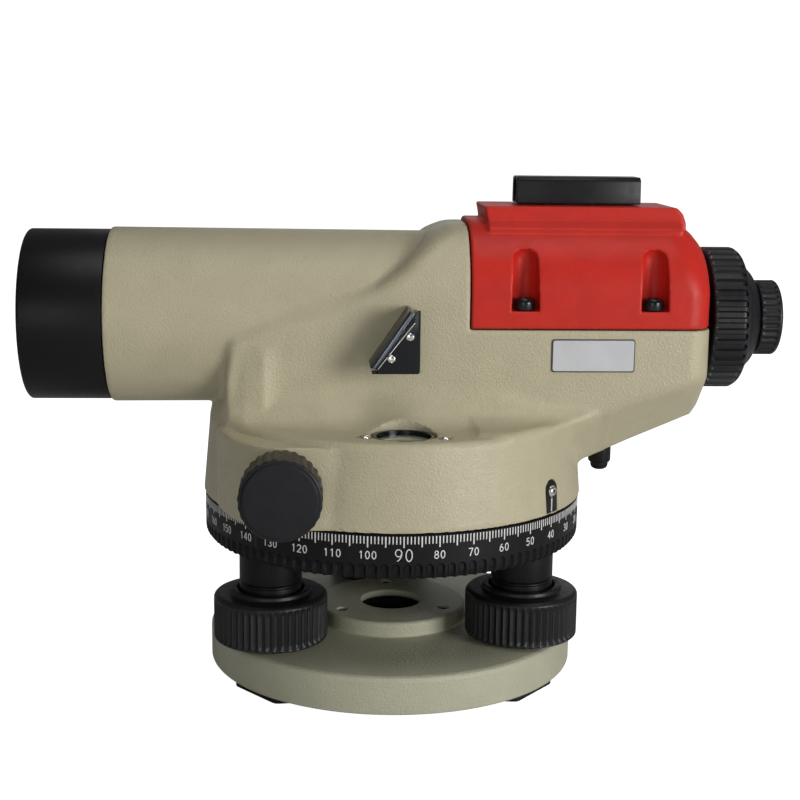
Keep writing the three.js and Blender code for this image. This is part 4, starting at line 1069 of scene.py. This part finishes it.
def make_base():
    radius, bottom, top = BASE.x1, BASE.z0, 12.6
    boss, boss_top, hole = 22.1, BASE.z1, HOLE_RADIUS
    bush_radius, bush_top = 12.4, 5.8
    profile = [
        (bush_radius, bottom), (radius - 0.5, bottom), (radius, bottom + 0.5), (radius, top - 1.4),
        (radius - 0.4, top - 0.4), (radius - 1.4, top), (boss + 0.7, top), (boss + 0.1, top + 0.2),
        (boss, top + 0.9), (boss, boss_top - 0.6), (boss - 0.6, boss_top), (hole + 0.35, boss_top),
        (hole, boss_top - 0.35), (hole, BORE_Z + 0.3), (hole + 0.6, BORE_Z), (hole + 0.6, bush_top),
        (bush_radius, bush_top),
    ]
    plate = add("base_casting", ring(profile, 200, 0.3), base_paint, "base", ["base_plate"])
    seat = turned([(0, 1), (5.6, 1), (5.6, 7.2), (4.2, 8.6), (4.2, 14), (0, 14)], 40)
    spindles = [Span(f"foot_spindle_{foot}") for foot in FEET]
    screws = [Span(f"base_screw_{i}") for i in range(1, 4)]
    cutters = [moved(seat, spindle.x, spindle.y) for spindle in spindles]
    cutters += [moved(rod(1.8, 1, 18, 32), screw.x, screw.y) for screw in screws]
    carve(plate, cutters)
    for i, screw in enumerate(screws, 1):
        low, high = screw.z0, screw.z1
        shank = solid([(0, low), (1.7, low), (1.7, high - 0.2), (1.5, high), (0, high)], 32, 0.1)
        shank = moved(shank, screw.x, screw.y)
        piece = add(f"base_cap_screw_{i}", shank, black_turned, "base", [f"base_screw_{i}"])
        carve(piece, [moved(rod(0.8, high - 1.4, 18, 6), screw.x, screw.y)])

    outline = []
    for azimuth in SPRING_ARMS:
        for along, across in ((44, -14), (51.4, -9), (51.4, 9), (44, 14)):
            reach, angle = math.hypot(along, across), math.radians(azimuth) + math.atan2(across, along)
            outline.append((reach * math.cos(angle), reach * math.sin(angle)))
    sheet = prism(soften(outline, 1.2), 0, Span("spring_plate").z1, 0.25)
    carve(add("spring_sheet", sheet, black_turned, "base", ["spring_plate"]), [rod(8, -1, 3, 64)])

    thread_top = BORE_Z - 0.05
    thread = [(hole + 0.55, 6.0), (hole + 0.55, thread_top), (hole + 0.02, thread_top)]
    for i in range(5):
        z = BORE_Z - 0.35 - THREAD_PITCH * i
        thread += [(hole - 0.1, z), (hole + 0.3, z - 0.5), (hole + 0.3, z - 0.8), (hole - 0.1, z - 1.2)]
    add("tripod_thread", ring(thread, 96, 0.1, 2), bore_black, "base")
    bush, crest, root = Span("tripod_thread_bush"), 7.9, 8.25
    section = [(bush.x1, bush.z1), (bush.x1, bush.z0), (8.2, bush.z0)]
    for i in range(2):
        z = bush.z0 + 0.6 + THREAD_PITCH * i
        section += [(crest, z), (root, z + 0.35), (root, z + 0.6), (crest, z + 0.95)]
    section.append((8.2, bush.z1))
    add("tripod_bush", ring(section, 96, 0.12, 2), brass, "base", ["tripod_thread_bush"])


def make_foot_screws():
    rib_low, rib_high, count = 14.2, 25.6, 50

    def ribs(r, h, a):
        wave = np.clip(0.5 - 0.5 * np.cos(count * a), 0, 1) ** 0.55
        ends = np.clip(np.minimum(h - rib_low, rib_high - h) / 0.7, 0, 1)
        return r - 0.62 * wave * ends

    for foot in FEET:
        knob, spindle = Span(f"foot_knob_{foot}"), Span(f"foot_spindle_{foot}")
        radius, low, high = (knob.x1 - knob.x0) / 2, knob.z0, knob.z1
        shoulder = high - 1.3
        profile = [
            (3.3, low), (radius - 0.6, low), (radius, low + 0.6), (radius, shoulder - 1.0),
            (radius - 0.9, shoulder), (11.3, shoulder), (11.2, high - 0.3), (10.9, high), (9.6, high),
            (9.4, high - 0.3), (9.4, low + 6), (3.3, low + 6),
        ]
        shape = turned(divided(soften(profile, 0.5), 0.7), count * 12, outside(15.2, ribs))
        body = f"foot_screw_{foot}"
        add(f"foot_grip_{foot}", moved(shape, knob.x, knob.y), ribbed_plastic, body, [f"foot_knob_{foot}"])

        # the spindle: a ball at the foot, then a thread
        ball_radius, ball_z, shank = 3.7, 5.6, 3.0
        angles = [math.radians(degrees) for degrees in range(-80, 40, 10)]
        ball = [(ball_radius * math.cos(a), ball_z + ball_radius * math.sin(a)) for a in angles]
        thread = []
        for i in range(28):
            z = 12 + 0.75 * i
            thread += [(shank, z), (shank - 0.28, z + 0.37)]
        tip = [(shank, spindle.z1 - 1), (2, spindle.z1), (0, spindle.z1)]
        stem = turned([(0, spindle.z0), *ball, (shank, 8.4), *thread, *tip], 36)
        add(f"foot_stem_{foot}", moved(stem, spindle.x, spindle.y), steel, body, [f"foot_spindle_{foot}"])


def make_tribrach():
    """The hub, its flange and the three black sleeves that the foot screws run in."""
    tribrach, sleeve = Span("tribrach"), Span("rear_foot_sleeve")
    outer, bore, low = (sleeve.x1 - sleeve.x0) / 2, 4.0, sleeve.z0
    hub, flange_z, top = 8.3, 41.5, 48.2
    flange = [
        (hub, 33.5), (15.6, 33.5), (17, 34.6), (17, 40.2), (18.4, flange_z), (tribrach.x1, flange_z),
        (tribrach.x1, top), (hub, top),
    ]
    add("tribrach_casting", ring(flange, 128, 0.6), black_turned, "tribrach_body", ["tribrach"])
    wall_start = [
        (bore, low), (outer - 0.9, low), (outer, low + 0.9), (outer, low + 6.4), (outer - 0.35, low + 6.7),
        (outer - 0.35, low + 7.2), (outer, low + 7.5),
    ]
    for foot in FRONT_FEET:
        spindle = Span(f"foot_spindle_{foot}")
        shape = ring([*wall_start, (outer, 43), (bore, 43)], 72, 0.3)
        add(f"foot_sleeve_{foot}", moved(shape, spindle.x, spindle.y), black_turned, "tribrach_body")
    neck = 5.9
    section = [*wall_start, (outer, 40.7), (neck, 40.9), (neck, sleeve.z1), (bore, sleeve.z1)]
    shape = moved(ring(section, 72, 0.3), sleeve.x, sleeve.y)
    add("foot_sleeve_rear", shape, black_turned, "rear_sleeve", ["rear_foot_sleeve"])


# ---------------------------------------------------------------- circular level and viewing prism
SUNK = 0.9  # the vial's glass lies this far below its case's rim


def make_circular_level():
    low, high, radius = VIAL.z0, VIAL.z1, VIAL.x1 - VIAL.x
    pane = Span("level_vial")
    glass_radius = pane.x1 - pane.x
    bore, rim_z = glass_radius + 0.25, high - SUNK - 0.4
    fluid_top = high - SUNK - 1.0

    def add_to_level(name, shape, material, stands_for=(), x=0.0, y=0.0):
        add(name, moved(shape, VIAL.x + x, VIAL.y + y), material, "instrument", stands_for)

    section = [
        (0, low), (radius, low), (radius, high - 0.5), (radius - 0.4, high), (bore, high),
        (bore, low + 1.3), (0, low + 1.3),
    ]
    add_to_level("level_case", solid(section, 96, 0.25), gloss_black, ["level_cup"])
    edge = glass_radius - 0.2
    pool = [(0, low + 1.6), (edge, low + 1.6), (edge, fluid_top), (0, fluid_top)]
    add_to_level("level_fluid", solid(pool, 72, 0.1), vial_fluid)
    angles = np.linspace(0.15, math.pi / 2, 8)[:-1]
    dome = [(0, fluid_top + 0.15), (glass_radius, fluid_top + 0.15), (glass_radius, rim_z)]
    dome += [(glass_radius * math.cos(t), rim_z + 0.5 * math.sin(t)) for t in angles]
    dome.append((0, high - SUNK + 0.1))
    add_to_level("level_glass", turned(dome, 96), vial_glass, ["level_vial"])
    mark = ring(wall(2.9, 3.15, fluid_top, fluid_top + 0.1), 72, 0.02)
    add_to_level("level_mark", mark, plate_border)
    # the bubble: a pale silver cap, a painted reflection in place of the light that an air bubble catches
    # under the glass
    angles = np.linspace(0, math.pi / 2, 6)[:-1]
    bubble = [(0, fluid_top + 0.02)]
    bubble += [(2.2 * math.cos(t), fluid_top + 0.05 + 0.07 * math.sin(t)) for t in angles]
    bubble.append((0, fluid_top + 0.12))
    add_to_level("level_bubble", turned(bubble, 48), silver, x=0.4, y=0.3)
    for i in (1, 2):
        screw = Span(f"level_screw_{i}")
        base, top = screw.z0, screw.z1
        head = solid([(0, base), (1.6, base), (1.6, top - 0.3), (1.3, top), (0, top + 0.1)], 36, 0.12)
        slot = rotated(block(-3, 3, -0.22, 0.22, top - 0.5, top + 1, 0.02, 0.03), "Z", 25 * i)
        head, slot = (moved(shape, screw.x, screw.y) for shape in (head, slot))
        carve(add(f"level_grub_{i}", head, chrome, "instrument", [f"level_screw_{i}"]), [slot])


def make_viewing_prism():
    left, x1, z0, z1 = Span("prism_plate").x0, PRISM.x1, PRISM.z0, PRISM.z1
    front, back = PRISM.y0, Span("viewing_prism").y1
    outline = soften([(PRISM.x0, z0), (x1, z0), (x1, z1), (x1 - 0.7, z1)], 0.9, 4)
    heel = block(left + 0.3, PRISM.x0 + 1.2, front, front + 1.4, z0, z0 + 0.9)
    cheek = together(prism(outline, front, front + 1.4, 0.2, "Y"), heel)
    add("prism_cheek_plate", cheek, gloss_black, "instrument", ["prism_cheek"])
    inner = soften([(PRISM.x0 + 0.6, z0 + 0.3), (x1 - 0.3, z0 + 0.3), (x1 - 0.3, z1 - 1)], 0.3, 2)
    shape = prism(inner, front + 1.7, back + 0.6, 0.15, "Y")
    add("prism_glass", shape, optical_glass, "instrument", ["viewing_prism"])
    # the mirror plate lies on the long side, and its layers show as bands from in front
    foot, tip = 1.9, 2.9
    rise, run = z1 - z0 - foot, x1 - tip - left
    slope, length = math.degrees(math.atan2(rise, run)), math.hypot(rise, run)

    def layer(name, start, end, near, far, low, high, material, stands_for=(), lean=0.0):
        shape = block(start, end, front - near, far, low, high, 0.08, 0.4)
        shape = moved(rotated(shape, "Y", lean - slope), left, 0, z0 + foot)
        add(f"prism_{name}", shape, material, "instrument", stands_for)

    layer("plate_cover", -0.2, length, 0.1, back + 0.6, -0.6, 0.05, gloss_black)
    layer("mirror_plate", 0, length, 0.2, back + 0.6, -1.5, -0.62, plate_steel, ["prism_plate"])
    layer("plate_liner", 0.4, length - 0.8, 0.4, front + 0.7, -1.75, -1.2, gloss_black, lean=3)
    layer("plate_edge", 0.6, length - 1.6, 0.5, front + 0.5, -1.95, -1.72, chrome, lean=3.6)
    button_head = [(0, 0.1), (0.6, 0.1), (0.6, 0.8), (1.2, 0.8), (1.2, 1.3), (0.9, 1.7), (0, 1.85)]
    head = rotated(solid(button_head, 40, 0.12, "Y"), "X", 180)
    slot = rotated(block(-3, 3, -0.18, 0.18, -0.5, 0.6, 0.02, 0.03), "X", 90)
    for i in (1, 2):
        screw = Span(f"prism_screw_{i}")
        cap = moved(head, screw.x, front + 0.6, screw.z)
        piece = add(f"prism_cap_screw_{i}", cap, chrome, "instrument", [f"prism_screw_{i}"])
        carve(piece, [moved(rotated(slot, "Y", 40 - 70 * i), screw.x, front - 1.35, screw.z)])


def make_button():
    bush, button = Span("button_bush"), Span("check_button")
    outer, bore, low, high = bush.x1 - bush.x, 2.85, bush.z0, bush.z1
    section = [(bore, low), (outer - 0.4, low), (outer, low + 0.5), (outer, high), (bore, high)]
    shape = moved(ring(section, 56, 0.25), bush.x, bush.y)
    add("button_sleeve", shape, black_plastic, "instrument", ["button_bush"])
    low, high, r = button.z0, button.z1, button.x1 - button.x
    profile = [(0, low), (r - 1.1, low + 0.1), (r - 0.3, low + 0.6), (r, low + 1.4), (r, high), (0, high)]
    shape = moved(solid(profile, 48, 0.3), button.x, button.y)
    add("button_plunger", shape, black_plastic, "button", ["check_button"])


# ---------------------------------------------------------------- CAD nodes that stay
KEPT = {
    brass: ("worm_wheel", "axis_bush", "pendulum_arm"),
    steel: ("vertical_spindle", "drive_shaft", "damping_magnet"),
    black_anodised: ("focusing_cell", "compensator_frame"),
    optical_glass: ("focusing_lens", "reticle", "pendulum_prism"),
}


def dress_kept_nodes():
    for material, names in KEPT.items():
        for name in names:
            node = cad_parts[name]
            node.data.materials.clear()
            node.data.materials.append(material)


# ---------------------------------------------------------------- studio
CAMERA_PLACE = Vector(((AXIS_X - 21.36) * MM, -430.88 * MM, 159.01 * MM))
CAMERA_RIGHT = Vector((0.9986, -0.0521, 0.0119))
CAMERA_UP = Vector((-0.0021, 0.1855, 0.9826))
CAMERA_AHEAD = Vector((0.0534, 0.9813, -0.1852))
LIGHT_TARGET = Vector((0, 0, 0.09))
LIGHTS = (  # name, place in metres, width and height, watts
    ("key", (0.96, -0.99, 0.27), (0.55, 0.5), 11),
    ("fill", (-0.35, -1.25, 0.26), (0.5, 0.5), 1.6),
    ("top", (0.1, -0.25, 1.2), (0.6, 0.6), 2.9),
    ("back", (0.2, 1.3, 0.5), (0.8, 0.7), 0.8),
)


def seen_by_camera(tree, hidden, shown):
    """One brightness for what the camera sees, and another for the light that falls on things."""
    path = tree.nodes.new("ShaderNodeLightPath")
    return remap(tree, path.outputs["Is Camera Ray"], hidden, shown, 0, 1)


def make_stage():
    mesh = bpy.data.meshes.new("floor")
    reach = 40
    corners = [(-reach, -reach, 0), (reach, -reach, 0), (reach, reach, 0), (-reach, reach, 0)]
    mesh.from_pydata(corners, [], [(0, 1, 2, 3)])
    floor = link("floor", mesh)
    mat = bpy.data.materials.new("floor_pale")
    mat.use_nodes = True
    tree = mat.node_tree
    shader = tree.nodes["Principled BSDF"]
    shader.inputs["Roughness"].default_value = 0.9
    shader.inputs["Specular IOR Level"].default_value = 0.1
    pale = ramp(tree, noise(tree, 3), (0.80, 0.80, 0.80), (0.83, 0.83, 0.83))
    tree.links.new(pale, shader.inputs["Base Color"])
    shader.inputs["Emission Color"].default_value = (1, 1, 1, 1)
    tree.links.new(seen_by_camera(tree, 0, 0.97), shader.inputs["Emission Strength"])
    mesh.materials.append(mat)

    world = bpy.data.worlds.new("studio")
    bpy.context.scene.world = world
    world.use_nodes = True
    background = world.node_tree.nodes["Background"]
    background.inputs["Color"].default_value = (1, 1, 1, 1)
    world.node_tree.links.new(seen_by_camera(world.node_tree, 0.14, 1.1), background.inputs["Strength"])


def make_lights():
    for name, place, size, power in LIGHTS:
        lamp = bpy.data.lights.new(name, "AREA")
        lamp.shape = "RECTANGLE"
        lamp.size, lamp.size_y = size
        lamp.energy = power
        light = link(name, lamp)
        light.location = place
        light.rotation_euler = (LIGHT_TARGET - Vector(place)).to_track_quat("-Z", "Y").to_euler()


def make_camera():
    camera = bpy.data.cameras.new("camera")
    camera.sensor_width = 36
    camera.lens = 67.5
    seen = link("camera", camera)
    axes = (CAMERA_RIGHT.normalized(), CAMERA_UP.normalized(), (-CAMERA_AHEAD).normalized())
    place = Matrix(axes).transposed().to_4x4()
    place.translation = CAMERA_PLACE
    seen.matrix_world = place
    bpy.context.scene.camera = seen


bpy.context.scene.view_settings.view_transform = "Standard"
make_camera()
make_stage()
make_lights()
make_housing()
make_cover()
make_sight()
make_name_plate()
make_objective()
make_focusing_ring()
make_eyepiece()
make_drive_knobs()
make_circle()
make_graduations()
make_index()
make_base()
make_foot_screws()
make_tribrach()
make_circular_level()
make_viewing_prism()
make_button()
dress_kept_nodes()
